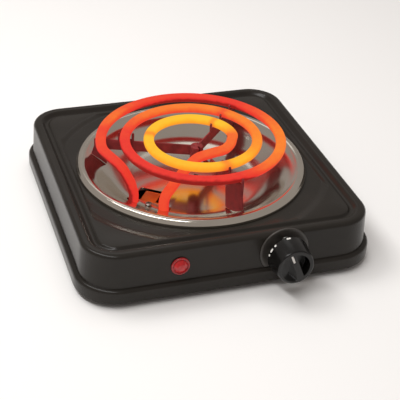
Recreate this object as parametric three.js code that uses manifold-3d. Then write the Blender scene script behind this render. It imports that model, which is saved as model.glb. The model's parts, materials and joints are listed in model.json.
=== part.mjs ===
// A portable electric hot plate with one spiral burner, in millimetres, +Z up.
// The floor is z = 0 and the front, with the knob and the lamp, faces -Y.
// A painted steel case carries a polished drip pan. A spiral tube heater lies over the pan on
// three notched arms, and its two legs go down through the pan to a ceramic terminal block.
// Behind the front wall are a rotary thermostat, turned by the knob, and a red neon lamp.
import * as THREE from 'three';
import { mergeVertices } from 'three/addons/utils/BufferGeometryUtils.js';
import Module from 'manifold-3d';

const wasm = await Module();
wasm.setup();

// Driving dimensions

const bodyWidth = 224; // across the foot flange, left to right
const bodyDepth = 228; // across the foot flange, front to back
const bodyHeight = 41.8; // floor to the flat top of the shoulder
const cornerRadius = 30.5; // of the foot flange
const sheet = 0.8; // wall of the pressed case and of the base plate
const seat = 0.3; // clearance left where two pieces rest on each other
const holePlay = 0.35; // hole over the radius of the piece in it
const overrun = 3.2; // of a cutter past what it cuts
const footHeight = 4.7; // floor to the base plate's seat on a rubber foot
const panMargin = 23; // foot flange to the pan's rim, at the nearest side
const panDepth = 16.5; // lip of the bowl to its floor
const burnerOffset = 4; // middle of the heater, right of the middle of the pan
const coilMargin = 14.8; // pan's rim to the heater's outermost centreline
const coilInner = 28.6; // centreline radius where the spiral ends
const turnPitch = 18.3; // turn to turn, before whole turns are fitted in
const coilLift = 17.6; // lip of the bowl to the middle of the heater tube
const tubeWidth = 8; // heater tube, across
const tubeHeight = 6.4; // heater tube, pressed flat on top
const knobRadius = 15.4; // at the back
const knobFace = 13.4; // radius in front
const knobLength = 19;
const knobOffset = 35; // knob axis, right of the middle
const controlSpacing = 77; // lamp centre to knob axis

// Counts

const sideSteps = 8; // spans along a straight side of the case
const cornerSteps = 6; // spans round a corner of the case
const panSegments = 40;
const coilStepsPerTurn = 24;
const roundSegments = 16; // turned pieces
const screwSegments = 10;
const holeSegments = 12; // holes and small turned pieces
const ringSegments = 32; // larger turned pieces of the knob
const knobSegments = 40;
const lensSegments = 20;

// Solids, and how they are cut and joined

function weld(geometry) {
  const bare = geometry.index ? geometry.toNonIndexed() : geometry.clone();
  for (const name of Object.keys(bare.attributes)) if (name !== 'position') bare.deleteAttribute(name);
  return mergeVertices(bare);
}

function solid(geometry) {
  const merged = weld(geometry);
  const triangles = new Uint32Array(merged.index.array);
  const points = merged.attributes.position.array;
  const made = new wasm.Manifold(
    new wasm.Mesh({ numProp: 3, vertProperties: points, triVerts: triangles }));
  if (made.volume() >= 0) return made;
  for (let i = 0; i < triangles.length; i += 3) {
    [triangles[i + 1], triangles[i + 2]] = [triangles[i + 2], triangles[i + 1]];
  }
  return new wasm.Manifold(
    new wasm.Mesh({ numProp: 3, vertProperties: points, triVerts: triangles }));
}

function geometryOf(manifold) {
  const mesh = manifold.getMesh();
  const points = new Float32Array(mesh.numVert * 3);
  for (let i = 0; i < mesh.numVert; i++) {
    points.set(mesh.vertProperties.subarray(i * mesh.numProp, i * mesh.numProp + 3), i * 3);
  }
  return new THREE.BufferGeometry()
    .setAttribute('position', new THREE.BufferAttribute(points, 3))
    .setIndex(new THREE.BufferAttribute(mesh.triVerts, 1));
}

const cut = (geometry, ...tools) =>
  geometryOf(tools.reduce((body, tool) => body.subtract(solid(tool)), solid(geometry)));
const join = (...geometries) =>
  geometryOf(geometries.map(solid).reduce((body, more) => body.add(more)));

// Turned solid from a closed [radius, along] profile, about +Z, or about -Y (out of the front wall)
function turned(profile, segments = roundSegments) {
  const points = [...profile, profile[0]].map(([r, z]) => new THREE.Vector2(r, z));
  return new THREE.LatheGeometry(points, segments).rotateX(Math.PI / 2);
}
const turnedOut = (profile, segments) => turned(profile, segments).rotateX(Math.PI / 2);

const rod = (radius, low, high, segments) =>
  turned([[0, low], [radius, low], [radius, high], [0, high]], segments);
const rodOut = (radius, low, high, segments) => rod(radius, low, high, segments).rotateX(Math.PI / 2);

function block(width, depth, height, x = 0, y = 0, z = 0) {
  return new THREE.BoxGeometry(width, depth, height).translate(x, y, z);
}

// A flat outline of [x, y] points, pulled up from low to high
function slab(points, low, high) {
  const shape = new THREE.Shape(points.map(([x, y]) => new THREE.Vector2(x, y)));
  return new THREE.ExtrudeGeometry(shape, { depth: high - low, bevelEnabled: false, steps: 1 })
    .translate(0, 0, low);
}

// A closed skin over rings of points that all have the same count. A band of rings that comes
// back to its first ring makes a hollow shell, and otherwise the two ends are capped.
function loft(rings, closed) {
  const count = rings[0].length;
  const points = rings.flat().flatMap((p) => [p.x, p.y, p.z]);
  const triangles = [];
  const bands = closed ? rings.length : rings.length - 1;
  for (let i = 0; i < bands; i++) {
    const j = (i + 1) % rings.length;
    for (let k = 0; k < count; k++) {
      const m = (k + 1) % count;
      triangles.push(i * count + k, i * count + m, j * count + m);
      triangles.push(i * count + k, j * count + m, j * count + k);
    }
  }
  if (!closed) {
    const last = (rings.length - 1) * count;
    for (let k = 1; k < count - 1; k++) {
      triangles.push(0, k + 1, k);
      triangles.push(last, last + k, last + k + 1);
    }
  }
  return new THREE.BufferGeometry()
    .setAttribute('position', new THREE.BufferAttribute(new Float32Array(points), 3))
    .setIndex(triangles);
}

// The section polyline moved to its right by a wall's thickness, corner by corner
function offsetLine(line, distance) {
  return line.map(([x, y], i) => {
    const [ax, ay] = line[Math.max(i - 1, 0)];
    const [bx, by] = line[Math.min(i + 1, line.length - 1)];
    const length = Math.hypot(bx - ax, by - ay);
    return [x + ((by - ay) / length) * distance, y - ((bx - ax) / length) * distance];
  });
}

const root = new THREE.Group();
const finishes = {
  blackPaint: { color: '#2b2826', roughness: 0.42, metalness: 0.3 },
  polishedSteel: { color: '#b7b1a4', roughness: 0.12, metalness: 1 },
  hotSheath: { color: '#f0442a', roughness: 0.6, metalness: 0.2 },
  oxidisedSteel: { color: '#4a2a26', roughness: 0.6, metalness: 0.7 },
  zincSteel: { color: '#9a9a96', roughness: 0.4, metalness: 1 },
  blackPlastic: { color: '#1a1918', roughness: 0.3, metalness: 0 },
  redLens: { color: '#d8202a', roughness: 0.15, metalness: 0 },
  rubber: { color: '#1c1c1c', roughness: 0.9, metalness: 0 },
  ceramic: { color: '#e6e0d2', roughness: 0.7, metalness: 0 },
  brass: { color: '#b08d4a', roughness: 0.35, metalness: 1 },
  whitePrint: { color: '#e8e6e0', roughness: 0.5, metalness: 0 },
  glass: { color: '#f0b090', roughness: 0.1, metalness: 0 },
  sleeve: { color: '#d9cfb8', roughness: 0.8, metalness: 0 },
};
const materials = Object.fromEntries(Object.entries(finishes).map(([name, values]) =>
  [name, new THREE.MeshStandardMaterial({ name, ...values })]));

function add(name, geometry, finish, parent = root) {
  const mesh = new THREE.Mesh(geometry, materials[finish]);
  mesh.name = name;
  parent.add(mesh);
  return mesh;
}

// Case: one deep-drawn steel shell, from the foot flange over the shoulder to the pan's hole

const plateLow = footHeight + seat;
const plateHigh = plateLow + sheet;
const lip = 0.6; // flange edge below the base plate
const flangeLow = plateLow - lip;
const wallHeight = 22.6; // straight wall over the flange, with the controls in its middle
const flangeReach = 3.7; // flange beyond the foot of the wall
const flangeRoundShare = 0.31; // of the flange's height, taken by its rounded top
const edgeRound = 0.6; // turn-in of the lower edge, and the fillet at the foot of the wall
const wallRun = 1.1; // the wall leans in by this, foot to top
const shoulderRadius = 3.2;
const shoulderFlat = 3.3;
const grooveDepth = 3.2;
const grooveRun = 3.8; // outer slope of the groove, level distance
const grooveFloor = 1;
const panelRun = 2.6; // inner slope of the groove, level distance
const panelDrop = 1.4; // panel below the shoulder
const panelFlat = 1.6; // panel between the groove and the dish, at the middle of a side
const dishDepth = 1.5;
const dishRun = 1.8; // slope down into the dish, at the middle of a side
const dishCrest = 20; // top of the dish's slope beyond the pan's rim, in the corners
const dishFoot = 11.5; // bottom of that slope beyond the pan's rim
const panLedge = 6; // pan's rim over the edge of the hole

const panRadius = Math.min(bodyWidth, bodyDepth) / 2 - panMargin;
const wallTop = bodyHeight - shoulderRadius;
const wallFoot = wallTop - wallHeight;
const flangeHigh = wallFoot - edgeRound;
const flangeRound = flangeRoundShare * (flangeHigh - flangeLow);
const grooveLow = bodyHeight - grooveDepth;
const panelHigh = bodyHeight - panelDrop;
const dishLow = panelHigh - dishDepth;
const wallInset = (z) => flangeReach + (wallRun * (z - wallFoot)) / wallHeight;
const shoulderInset = flangeReach + wallRun + shoulderRadius;
const grooveInset = shoulderInset + shoulderFlat;
const floorInset = grooveInset + grooveRun;
const panelInset = floorInset + grooveFloor + panelRun;
const dishInset = panelInset + panelFlat;

// A level ring of the case at an inset from the flange, drawn in to a circle where that is smaller
function caseRing(inset, z, circle = Infinity) {
  const halfX = bodyWidth / 2;
  const halfY = bodyDepth / 2;
  const straightX = halfX - cornerRadius;
  const straightY = halfY - cornerRadius;
  const quarter = [];
  for (let k = 0; k < sideSteps / 2; k++) {
    quarter.push([halfX - inset, (straightY * k) / (sideSteps / 2)]);
  }
  for (let k = 0; k <= cornerSteps; k++) {
    const turn = ((Math.PI / 2) * k) / cornerSteps;
    quarter.push([
      straightX + (cornerRadius - inset) * Math.cos(turn),
      straightY + (cornerRadius - inset) * Math.sin(turn)]);
  }
  for (let k = sideSteps / 2 - 1; k > 0; k--) {
    quarter.push([(straightX * k) / (sideSteps / 2), halfY - inset]);
  }
  const points = [
    ...quarter,
    [0, halfY - inset],
    ...[...quarter].reverse().slice(0, -1).map(([x, y]) => [-x, y]),
    ...quarter.map(([x, y]) => [-x, -y]),
    [0, -(halfY - inset)],
    ...[...quarter].reverse().slice(0, -1).map(([x, y]) => [x, -y])];
  return points.map(([x, y]) => {
    const scale = Math.min(1, circle / Math.hypot(x, y));
    return new THREE.Vector3(x * scale, y * scale, z);
  });
}

const flangeRoundShares = [[0, 0], [0.16, 0.6], [0.6, 1]];
const shoulderAngles = [0, 45, 90];
const caseSection = [
  [edgeRound, flangeLow],
  [0, flangeLow + edgeRound],
  ...flangeRoundShares.map(([run, rise]) => [
    run * flangeReach, flangeHigh - flangeRound + rise * flangeRound]),
  [wallInset(wallFoot), wallFoot],
  ...shoulderAngles.map((angle) => [
    shoulderInset - shoulderRadius * Math.cos(THREE.MathUtils.degToRad(angle)),
    wallTop + shoulderRadius * Math.sin(THREE.MathUtils.degToRad(angle))]),
  [grooveInset, bodyHeight],
  [floorInset, grooveLow],
  [floorInset + grooveFloor, grooveLow],
  [panelInset, panelHigh]];
// The inside is the same section without the middle points of its two rounded corners
const isRounding = (point, i) => i === 1 || i === 3 || i === 7;
const innerSection = offsetLine(caseSection, sheet).filter((point, i) => !isRounding(point, i));
innerSection[0][1] = flangeLow;

const dishRings = [
  [dishInset, panelHigh, panRadius + dishCrest],
  [dishInset + dishRun, dishLow, panRadius + dishFoot],
  [dishInset + dishRun, dishLow, panRadius - panLedge]];
const caseRings = [
  ...caseSection.map(([inset, z]) => caseRing(inset, z)),
  ...dishRings.map(([inset, z, circle]) => caseRing(inset, z, circle)),
  ...[...dishRings].reverse().map(([inset, z, circle]) => caseRing(inset, z - sheet, circle)),
  ...[...innerSection].reverse().map(([inset, z]) => caseRing(inset, z))];

// Controls: knob and lamp on one line across the middle of the front wall, square to it

const controlHeight = (wallFoot + wallTop) / 2;
const wallHalf = wallHeight / 2;
const wallLean = Math.atan(wallRun / wallHeight);

// A group on the front or back wall whose y runs into the case
function wallStation(x, back) {
  const station = new THREE.Group();
  const wallY = bodyDepth / 2 - wallInset(controlHeight);
  station.position.set(x, back ? wallY : -wallY, controlHeight);
  station.rotation.set(back ? wallLean : -wallLean, 0, back ? Math.PI : 0);
  root.add(station);
  station.updateMatrixWorld(true);
  return station;
}
const knobStation = wallStation(knobOffset, false);
const lampStation = wallStation(knobOffset - controlSpacing, false);
const placed = (geometry, station) => geometry.clone().applyMatrix4(station.matrixWorld);

const neckRadius = 4.9; // the thermostat's neck through the wall
const lampBarrel = 4.7;
const fixingMargin = 1.8; // thermostat's fixing screws to the foot and the top of the wall
const fixingRise = wallHalf - fixingMargin;
const smallShank = 1.35;
const inletOffset = 60; // cord inlet in the back wall, right of the middle
const inletWaist = 5.2; // neck of the inlet bush
const inletStation = wallStation(inletOffset, true);

// Base plate fixing tabs, spot-welded inside the front and back walls
const tabInset = 50; // flange's side to the middle of a tab
const tabX = bodyWidth / 2 - tabInset;
const tabWidth = 14;
const tabLength = 13;
const tabLow = plateHigh + seat;
const tabHigh = tabLow + sheet;
const tabWall = bodyDepth / 2 - sheet;
const fixingY = tabWall - tabLength / 2;
const corners = [
  ['front_left', -1, -1], ['front_right', 1, -1], ['back_left', -1, 1], ['back_right', 1, 1]];
const tabs = corners.map(([, sx, sy]) => block(
  tabWidth, tabLength + sheet / 2, tabHigh - tabLow,
  sx * tabX, sy * (tabWall - tabLength / 2 + sheet / 4), (tabLow + tabHigh) / 2));

const screwHole = smallShank + holePlay;
add('housing', cut(
  join(loft(caseRings, true), ...tabs),
  ...corners.map(([, sx, sy]) =>
    rod(screwHole, tabLow - sheet, tabHigh + sheet).translate(sx * tabX, sy * fixingY, 0)),
  placed(rodOut(neckRadius + holePlay, -overrun, overrun), knobStation),
  ...[-1, 1].map((side) =>
    placed(rodOut(screwHole, -overrun, overrun).translate(0, 0, side * fixingRise), knobStation)),
  placed(rodOut(lampBarrel + holePlay, -overrun, overrun), lampStation),
  placed(rodOut(inletWaist + holePlay, -overrun, overrun), inletStation),
), 'blackPaint');

// Base plate, with vent slots, and four rubber feet pushed into it

const footRadius = 8;
const footTaper = 1.2;
const footInset = 32; // flange's sides to the middle of a foot
const footX = bodyWidth / 2 - footInset;
const footY = bodyDepth / 2 - footInset;
const footStem = 2.6;
const footBulb = 3.9;
const footBulbHeight = 2.4;
const slotLength = 34;
const slotWidth = 3.4;
const slotPitch = 11;
const slotCount = 6;
const slotSteps = 3; // round the end of a slot
const slotX = 34;
const slotRowY = 45;
const plateInset = sheet + 2 * seat;

function roundSlot(length, width, x, y) {
  const half = (length - width) / 2;
  const points = [];
  for (const [side, start] of [[1, -Math.PI / 2], [-1, Math.PI / 2]]) {
    for (let k = 0; k <= slotSteps; k++) {
      const turn = start + (Math.PI * k) / slotSteps;
      points.push([x + side * half + (width / 2) * Math.cos(turn), y + (width / 2) * Math.sin(turn)]);
    }
  }
  return slab(points, plateLow - overrun, plateHigh + overrun);
}

const slots = [];
for (const x of [-slotX, slotX]) {
  for (let k = 0; k < slotCount; k++) {
    slots.push(roundSlot(slotLength, slotWidth, x, slotRowY + (k - (slotCount - 1) / 2) * slotPitch));
  }
}
const earthInset = 44; // flange's back to the earth screw, in line with the tabs
const earthX = tabX;
const earthY = bodyDepth / 2 - earthInset;
const earthShank = 1.9;
const plateOutline = caseRing(plateInset, 0).map((p) => [p.x, p.y]);
add('base_plate', cut(
  slab(plateOutline, plateLow, plateHigh),
  ...corners.map(([, sx, sy]) =>
    rod(screwHole, plateLow - sheet, plateHigh + sheet).translate(sx * tabX, sy * fixingY, 0)),
  ...corners.map(([, sx, sy]) =>
    rod(footStem + holePlay, plateLow - sheet, plateHigh + sheet).translate(sx * footX, sy * footY, 0)),
  rod(earthShank + holePlay, plateLow - sheet, plateHigh + sheet).translate(earthX, earthY, 0),
  ...slots,
), 'zincSteel');

const screwHead = 2.7;
const screwHeadHeight = 1.1;
const screwGrip = 3.2; // thread past the tab

// Screw pointing up, its head's seat at z = 0
function screwUp(head, headHeight, shank, length) {
  return turned([
    [0, -headHeight], [head * 0.7, -headHeight], [head, -headHeight / 2], [head, 0],
    [shank, 0], [shank, length], [0, length]], screwSegments);
}

for (const [corner, sx, sy] of corners) {
  add(`foot_${corner}`, turned([
    [0, 0], [footRadius - footTaper, 0], [footRadius, footTaper], [footRadius, footHeight],
    [footStem, footHeight], [footStem, plateHigh + seat], [footBulb, plateHigh + seat],
    [footStem, plateHigh + seat + footBulbHeight], [0, plateHigh + seat + footBulbHeight]], holeSegments)
    .translate(sx * footX, sy * footY, 0), 'rubber');
  add(`base_screw_${corner}`, screwUp(
    screwHead, screwHeadHeight, smallShank, tabHigh - plateLow + seat + screwGrip)
    .translate(sx * tabX, sy * fixingY, plateLow - seat), 'zincSteel');
}

// Drip pan: a polished bowl with a rolled rim, resting in the case's dish

const panSheet = 0.5;
const rimWidth = 8.5;
const lipRise = 2.1; // lip of the bowl over the panel
const rimRise = 1.7; // crest of the rim over the lip
const lipHigh = panelHigh + lipRise;
const panFloor = lipHigh - panDepth;
const panUnderside = panFloor - panSheet;
const bowlRadius = panRadius - rimWidth;
const rimHeight = lipHigh - dishLow - seat;
// [share of the rim's width, share of the rim's height], from the outer edge in
const rimShares = [[0, 0], [0, 0.45], [0.1, 0.86]];
const crestShares = [[0.26, 0.8], [0.48, 1], [0.74, 0.82]];
// [share of the bowl's radius, share of the bowl's depth], from the lip in
const bowlShares = [
  [1, 1], [0.945, 0.85], [0.885, 0.64], [0.82, 0.4], [0.745, 0.18], [0.66, 0.05], [0.56, 0]];
const bowlLine = bowlShares.map(([r, h]) => [r * bowlRadius, panFloor + h * panDepth]);
const panLine = [
  ...rimShares.map(([run, rise]) => [panRadius - run * rimWidth, dishLow + seat + rise * rimHeight]),
  ...crestShares.map(([run, rise]) => [panRadius - run * rimWidth, lipHigh + rise * rimRise]),
  ...bowlLine];
// The underside leaves out every second point inside the rim
const panUnder = offsetLine(panLine, -panSheet).filter((point, i) => i < 7 || i % 2 === 0);
panUnder[0][1] = panLine[0][1];

// Height of the bowl's upper face at a radius
function panSurface(radius) {
  for (let i = 1; i < bowlLine.length; i++) {
    const [outerR, outerZ] = bowlLine[i - 1];
    const [innerR, innerZ] = bowlLine[i];
    if (radius >= innerR) {
      return innerZ + ((outerZ - innerZ) * (Math.min(radius, bowlRadius) - innerR)) / (outerR - innerR);
    }
  }
  return panFloor;
}

// Heater: one steel tube in a flat spiral, its ends bent down through the pan.
// It and what carries it are placed from the middle of the spiral.

const burner = new THREE.Group();
burner.position.x = burnerOffset;
root.add(burner);
burner.updateMatrixWorld(true);

const legStub = 5; // leg below the bowl's floor
const coilRadius = panRadius - coilMargin;
const coilZ = lipHigh + coilLift;
const coilStartAngle = -185; // degrees round the burner, where the outer end leaves the spiral
const coilEndAngle = -2; // degrees, where the spiral ends some whole turns later
const outerLegAngle = -158.3;
const innerLegAngle = -134.2;
const outerLegShare = 0.818; // of the coil's radius
const innerLegShare = 0.695;
const legEnd = panFloor - legStub;
const partTurn = (coilStartAngle - coilEndAngle + 360) / 360;
const coilTurns = partTurn + Math.round((coilRadius - coilInner) / turnPitch - partTurn);
const coilPitch = (coilRadius - coilInner) / coilTurns;
const heightAt = (share) => panFloor + share * (coilZ - panFloor);
const polar = (radius, degrees, z) => new THREE.Vector3(
  radius * Math.cos(THREE.MathUtils.degToRad(degrees)),
  radius * Math.sin(THREE.MathUtils.degToRad(degrees)), z);
const outerLeg = polar(outerLegShare * coilRadius, outerLegAngle, 0);
const innerLeg = polar(innerLegShare * coilRadius, innerLegAngle, 0);

// [share of the turn from the spiral's end to the leg, of the radius to the leg, of the height]
const outerDropShares = [
  [0.26, 0.04, 1], [0.5, 0.17, 0.99], [0.71, 0.31, 0.95], [0.85, 0.49, 0.84], [0.94, 0.67, 0.65],
  [0.975, 0.84, 0.48], [0.99, 0.93, 0.33]];
// [x and y as shares of the inner radius, share of the height], round the hub and under the turns
const curlShares = [
  [0.925, -0.19, 0.99], [0.84, -0.33, 0.94], [0.64, -0.44, 0.872], [0.35, -0.47, 0.843],
  [0.07, -0.5, 0.814], [-0.154, -0.55, 0.788]];
// [shares of the inner leg's x and y, share of the height]
const tailShares = [[0.53, 0.72, 0.67], [0.842, 0.94, 0.468], [0.95, 0.985, 0.36]];
const legShares = [0.22, 0];

// Stations at an even spacing along a smooth curve through the given points
function smoothed(points, spacing) {
  const curve = new THREE.CatmullRomCurve3(points, false, 'centripetal');
  return curve.getSpacedPoints(Math.ceil(curve.getLength() / spacing));
}
const spiral = [];
const spiralSteps = Math.round(coilTurns * coilStepsPerTurn);
for (let k = 0; k <= spiralSteps; k++) {
  const turn = (coilTurns * k) / spiralSteps;
  spiral.push(polar(coilRadius - coilPitch * turn, coilStartAngle - 360 * turn, coilZ));
}
const legPoint = (leg) => (share) => new THREE.Vector3(leg.x, leg.y, heightAt(share));
const legTip = (leg) => new THREE.Vector3(leg.x, leg.y, legEnd);
const outerEnd = [
  spiral[1], spiral[0],
  ...outerDropShares.map(([way, r, h]) => polar(
    coilRadius + r * (outerLegShare - 1) * coilRadius,
    coilStartAngle + way * (outerLegAngle - coilStartAngle), heightAt(h))),
  ...legShares.map(legPoint(outerLeg)), legTip(outerLeg)];
const innerEnd = [
  spiral.at(-2), spiral.at(-1),
  ...curlShares.map(([x, y, h]) => new THREE.Vector3(x * coilInner, y * coilInner, heightAt(h))),
  ...tailShares.map(([x, y, h]) => new THREE.Vector3(x * innerLeg.x, y * innerLeg.y, heightAt(h))),
  ...legShares.map(legPoint(innerLeg)), legTip(innerLeg)];
const bendSpacing = 0.75 * tubeWidth;
const coilPath = [
  ...smoothed(outerEnd, bendSpacing).reverse(), ...spiral.slice(2, -2), ...smoothed(innerEnd, bendSpacing)];
for (const point of coilPath) point.z = Math.min(point.z, coilZ);

// [share of half the width, share of half the height] round the tube, flat on top
const tubeShares = [
  [-0.6, 1], [0.6, 1], [1, 0.35], [0.88, -0.5], [0.38, -1], [-0.38, -1], [-0.88, -0.5], [-1, 0.35]];

// A section carried along a path. Its upper side is +Z half way along and turns with the path.
function sweep(path, shares, width, height) {
  const tangents = path.map((point, i) => new THREE.Vector3().subVectors(
    path[Math.min(i + 1, path.length - 1)], path[Math.max(i - 1, 0)]).normalize());
  const carry = (up, tangent) => up.clone().addScaledVector(tangent, -up.dot(tangent)).normalize();
  const middle = Math.floor(path.length / 2);
  const ups = [];
  ups[middle] = carry(new THREE.Vector3(0, 0, 1), tangents[middle]);
  for (let i = middle + 1; i < path.length; i++) ups[i] = carry(ups[i - 1], tangents[i]);
  for (let i = middle - 1; i >= 0; i--) ups[i] = carry(ups[i + 1], tangents[i]);
  return loft(path.map((point, i) => {
    const side = new THREE.Vector3().crossVectors(tangents[i], ups[i]);
    return shares.map(([across, up]) => point.clone()
      .addScaledVector(side, (across * width) / 2)
      .addScaledVector(ups[i], (up * height) / 2));
  }), false);
}
add('heating_element', sweep(coilPath, tubeShares, tubeWidth, tubeHeight), 'hotSheath', burner);

// The turns must not touch: the least distance between stations more than half a turn apart
function leastGap(path) {
  let least = Infinity;
  for (let i = 0; i < path.length; i++) {
    for (let j = i + coilStepsPerTurn / 2; j < path.length; j++) {
      least = Math.min(least, path[i].distanceTo(path[j]));
    }
  }
  return least - tubeWidth;
}
console.log(`least gap between the heater's turns: ${leastGap(coilPath).toFixed(2)} mm`);

// A frame on the line of the two legs: x from the inner leg to the outer one, y away from the hub
const legLine = new THREE.Vector3().subVectors(outerLeg, innerLeg);
const legSpacing = legLine.length();
const legStation = new THREE.Group();
legStation.position.addVectors(outerLeg, innerLeg).multiplyScalar(0.5);
legStation.rotation.z = Math.atan2(legLine.y, legLine.x);
burner.add(legStation);
burner.updateMatrixWorld(true);
const legSides = [['outer', 1], ['inner', -1]];
const atLegs = (geometry) => legSides.map(([, side]) =>
  geometry.clone().translate((side * legSpacing) / 2, 0, 0));

// The pan has a window beside its legs' holes, with the element's flange under it
const legPlay = 0.7; // leg hole over the tube's half width
const windowInner = 4.5; // inner leg's axis to the window's near side
const windowOuter = 1.5; // outer leg's axis to the window's far side, beyond it
const windowEdge = 4; // legs' line to the window
const windowShare = 0.353; // window's depth, of the legs' line's distance from the hub's axis
const windowWidth = legSpacing - windowInner + windowOuter;
const windowShift = (windowInner + windowOuter) / 2;
const windowDepth = (windowShare * legLine.clone().cross(innerLeg).length()) / legSpacing;
const tongueWidth = 12;
const tongueMargin = 2; // between the window's far edge and the tongue's end
const panShank = 1.9; // screw through the middle of the pan
const cutLow = panUnderside - overrun;
const cutHigh = (lipHigh + panFloor) / 2;
const middleHole = rod(panShank + holePlay, cutLow, cutHigh, holeSegments);
const flangeScrewHole = rod(smallShank + holePlay, cutLow, cutHigh, holeSegments);
add('drip_pan', cut(
  turned([...panLine, [0, panFloor], [0, panUnderside], ...[...panUnder].reverse()], panSegments),
  placed(join(
    ...atLegs(rod(tubeWidth / 2 + legPlay, cutLow, cutHigh)),
    block(windowWidth, windowDepth, cutHigh - cutLow,
      windowShift, -windowEdge - windowDepth / 2, (cutHigh + cutLow) / 2)), legStation),
  placed(flangeScrewHole, legStation),
  placed(middleHole, burner),
), 'polishedSteel');

// Hub: a small boss in the middle of the spiral, slotted for the three arms that carry it
const hubRadius = 5;
const hubFloor = 2; // below the arms
const armSheet = 1.2;
const bladeDepth = 10; // at the hub
const bladeDip = 1.4; // blade's top between the turns, below their seats
const armIn = 2.2; // inner end of an arm, from the hub's axis
const restZ = coilZ - tubeHeight / 2 - seat;
const bladeHigh = restZ - bladeDip;
const bladeLow = restZ - bladeDepth;
const armAngles = { left: 159, back: 47, front: -78 };
const inDirection = (geometry, angle) => geometry.rotateZ(THREE.MathUtils.degToRad(angle));
const hubSlots = Object.values(armAngles).map((angle) => inDirection(block(
  hubRadius, armSheet + 2 * seat, bladeDepth + overrun,
  armIn - seat + hubRadius / 2, 0, bladeLow - seat + (bladeDepth + overrun) / 2), angle));
add('support_hub', cut(
  rod(hubRadius, bladeLow - seat - hubFloor, bladeHigh), ...hubSlots), 'oxidisedSteel', burner);

// Arms: three blades that carry the tube, each with a foot on the bowl's side at its outer end
const prongWidth = 2;
const prongRise = 2.2; // prong's tip over the middle of the tube
const armToe = 2.2; // foot's lower corners beyond its upper ones
const footLengths = { left: 12, back: 14, front: 23 }; // along the bowl
const footShares = [0, 0.17, 0.33, 0.5, 0.67, 0.83, 1];
const heldTurns = { left: [1], back: [0, 1, 2], front: [0, 1] }; // between prongs, outermost is 0

// [radius, height] at which the heater crosses the direction of an arm, outermost first
function crossings(angle) {
  const found = [];
  for (let i = 1; i < coilPath.length; i++) {
    const [a, b] = [coilPath[i - 1], coilPath[i]].map((p) =>
      p.clone().applyAxisAngle(new THREE.Vector3(0, 0, 1), THREE.MathUtils.degToRad(-angle)));
    if (a.x > 0 && a.y * b.y <= 0 && a.y !== b.y) {
      const at = a.lerp(b, a.y / (a.y - b.y));
      found.push([at.x, at.z]);
    }
  }
  return found.sort((p, q) => q[0] - p[0]);
}

function arm(side) {
  const angle = armAngles[side];
  const direction = polar(1, angle, 0);
  const onTop = ([, z]) => z > restZ + seat + tubeHeight / 4;
  const radii = crossings(angle).filter(onTop).map(([r]) => r);
  const reach = tubeWidth / 2 + seat;
  const prongHigh = coilZ + prongRise;
  const outer = radii[0] + reach + prongWidth;
  const bowlAt = (r) => panSurface(Math.hypot(burnerOffset + r * direction.x, r * direction.y));
  const footIn = outer + armToe - footLengths[side];
  const foot = footShares.map((share) => {
    const r = footIn + share * footLengths[side];
    return [r, bowlAt(r) + 2 * seat];
  });
  const isHeld = (turn) => heldTurns[side].includes(turn);
  const top = radii.flatMap((r, turn) => (isHeld(turn) ? [
    [r + reach + prongWidth, bladeHigh],
    [r + reach + prongWidth, prongHigh - prongWidth / 2], [r + reach + prongWidth / 2, prongHigh],
    [r + reach, prongHigh - prongWidth / 2], [r + reach, restZ],
    [r - reach, restZ], [r - reach, prongHigh - prongWidth / 2],
    [r - reach - prongWidth / 2, prongHigh], [r - reach - prongWidth, prongHigh - prongWidth / 2],
    [r - reach - prongWidth, bladeHigh]] : [
    [r + tubeWidth / 2, bladeHigh], [r + tubeWidth / 4, restZ],
    [r - tubeWidth / 4, restZ], [r - tubeWidth / 2, bladeHigh]]));
  const end = [outer, (foot.at(-1)[1] + restZ) / 2];
  if (isHeld(0)) top[0] = end;
  else top.unshift(end, [outer, bladeHigh]);
  const dip = [];
  for (const [r, z] of crossings(angle).filter((crossing) => !onTop(crossing))) {
    const low = z - tubeHeight / 2 - 2 * seat;
    const half = tubeWidth / 2 + 2 * legPlay;
    dip.push([r + half + prongWidth, bladeHigh], [r + half, low], [r - half, low]);
  }
  const inner = dip.length ? dip.at(-1)[1] : bladeHigh;
  const outline = [
    [armIn, bladeLow], [footIn - armToe, bladeLow], ...foot, ...top, ...dip, [armIn, inner]];
  return inDirection(slab(outline, -armSheet / 2, armSheet / 2).rotateX(Math.PI / 2), angle);
}
for (const side of Object.keys(armAngles)) {
  add(`support_arm_${side}`, arm(side), 'oxidisedSteel', burner);
}

// Cross bar: a strip under the pan, welded to the side walls, that a screw pulls the pan onto
const barSheet = 1.2;
const barWidth = 11;
const barFlange = 10;
const barHigh = panUnderside - seat;
const barLow = barHigh - barSheet;
const barHalf = bodyWidth / 2 - wallInset(barHigh) - sheet - 2 * seat;
add('cross_bar', cut(
  join(
    block(2 * barHalf, barWidth, barSheet, 0, 0, (barHigh + barLow) / 2),
    ...[-1, 1].map((side) => block(
      barSheet, barWidth, barFlange, side * (barHalf - barSheet / 2), 0, barHigh - barFlange / 2))),
  placed(middleHole, burner),
), 'zincSteel');
const panScrewHead = 4;
const panScrewHeadHeight = 2.2;
const panScrewGrip = 2; // thread past the bar
add('pan_screw', screwUp(
  panScrewHead, panScrewHeadHeight, panShank, panFloor + seat - barLow + panScrewGrip)
  .rotateX(Math.PI).translate(0, 0, panFloor + seat), 'zincSteel', burner);

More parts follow.
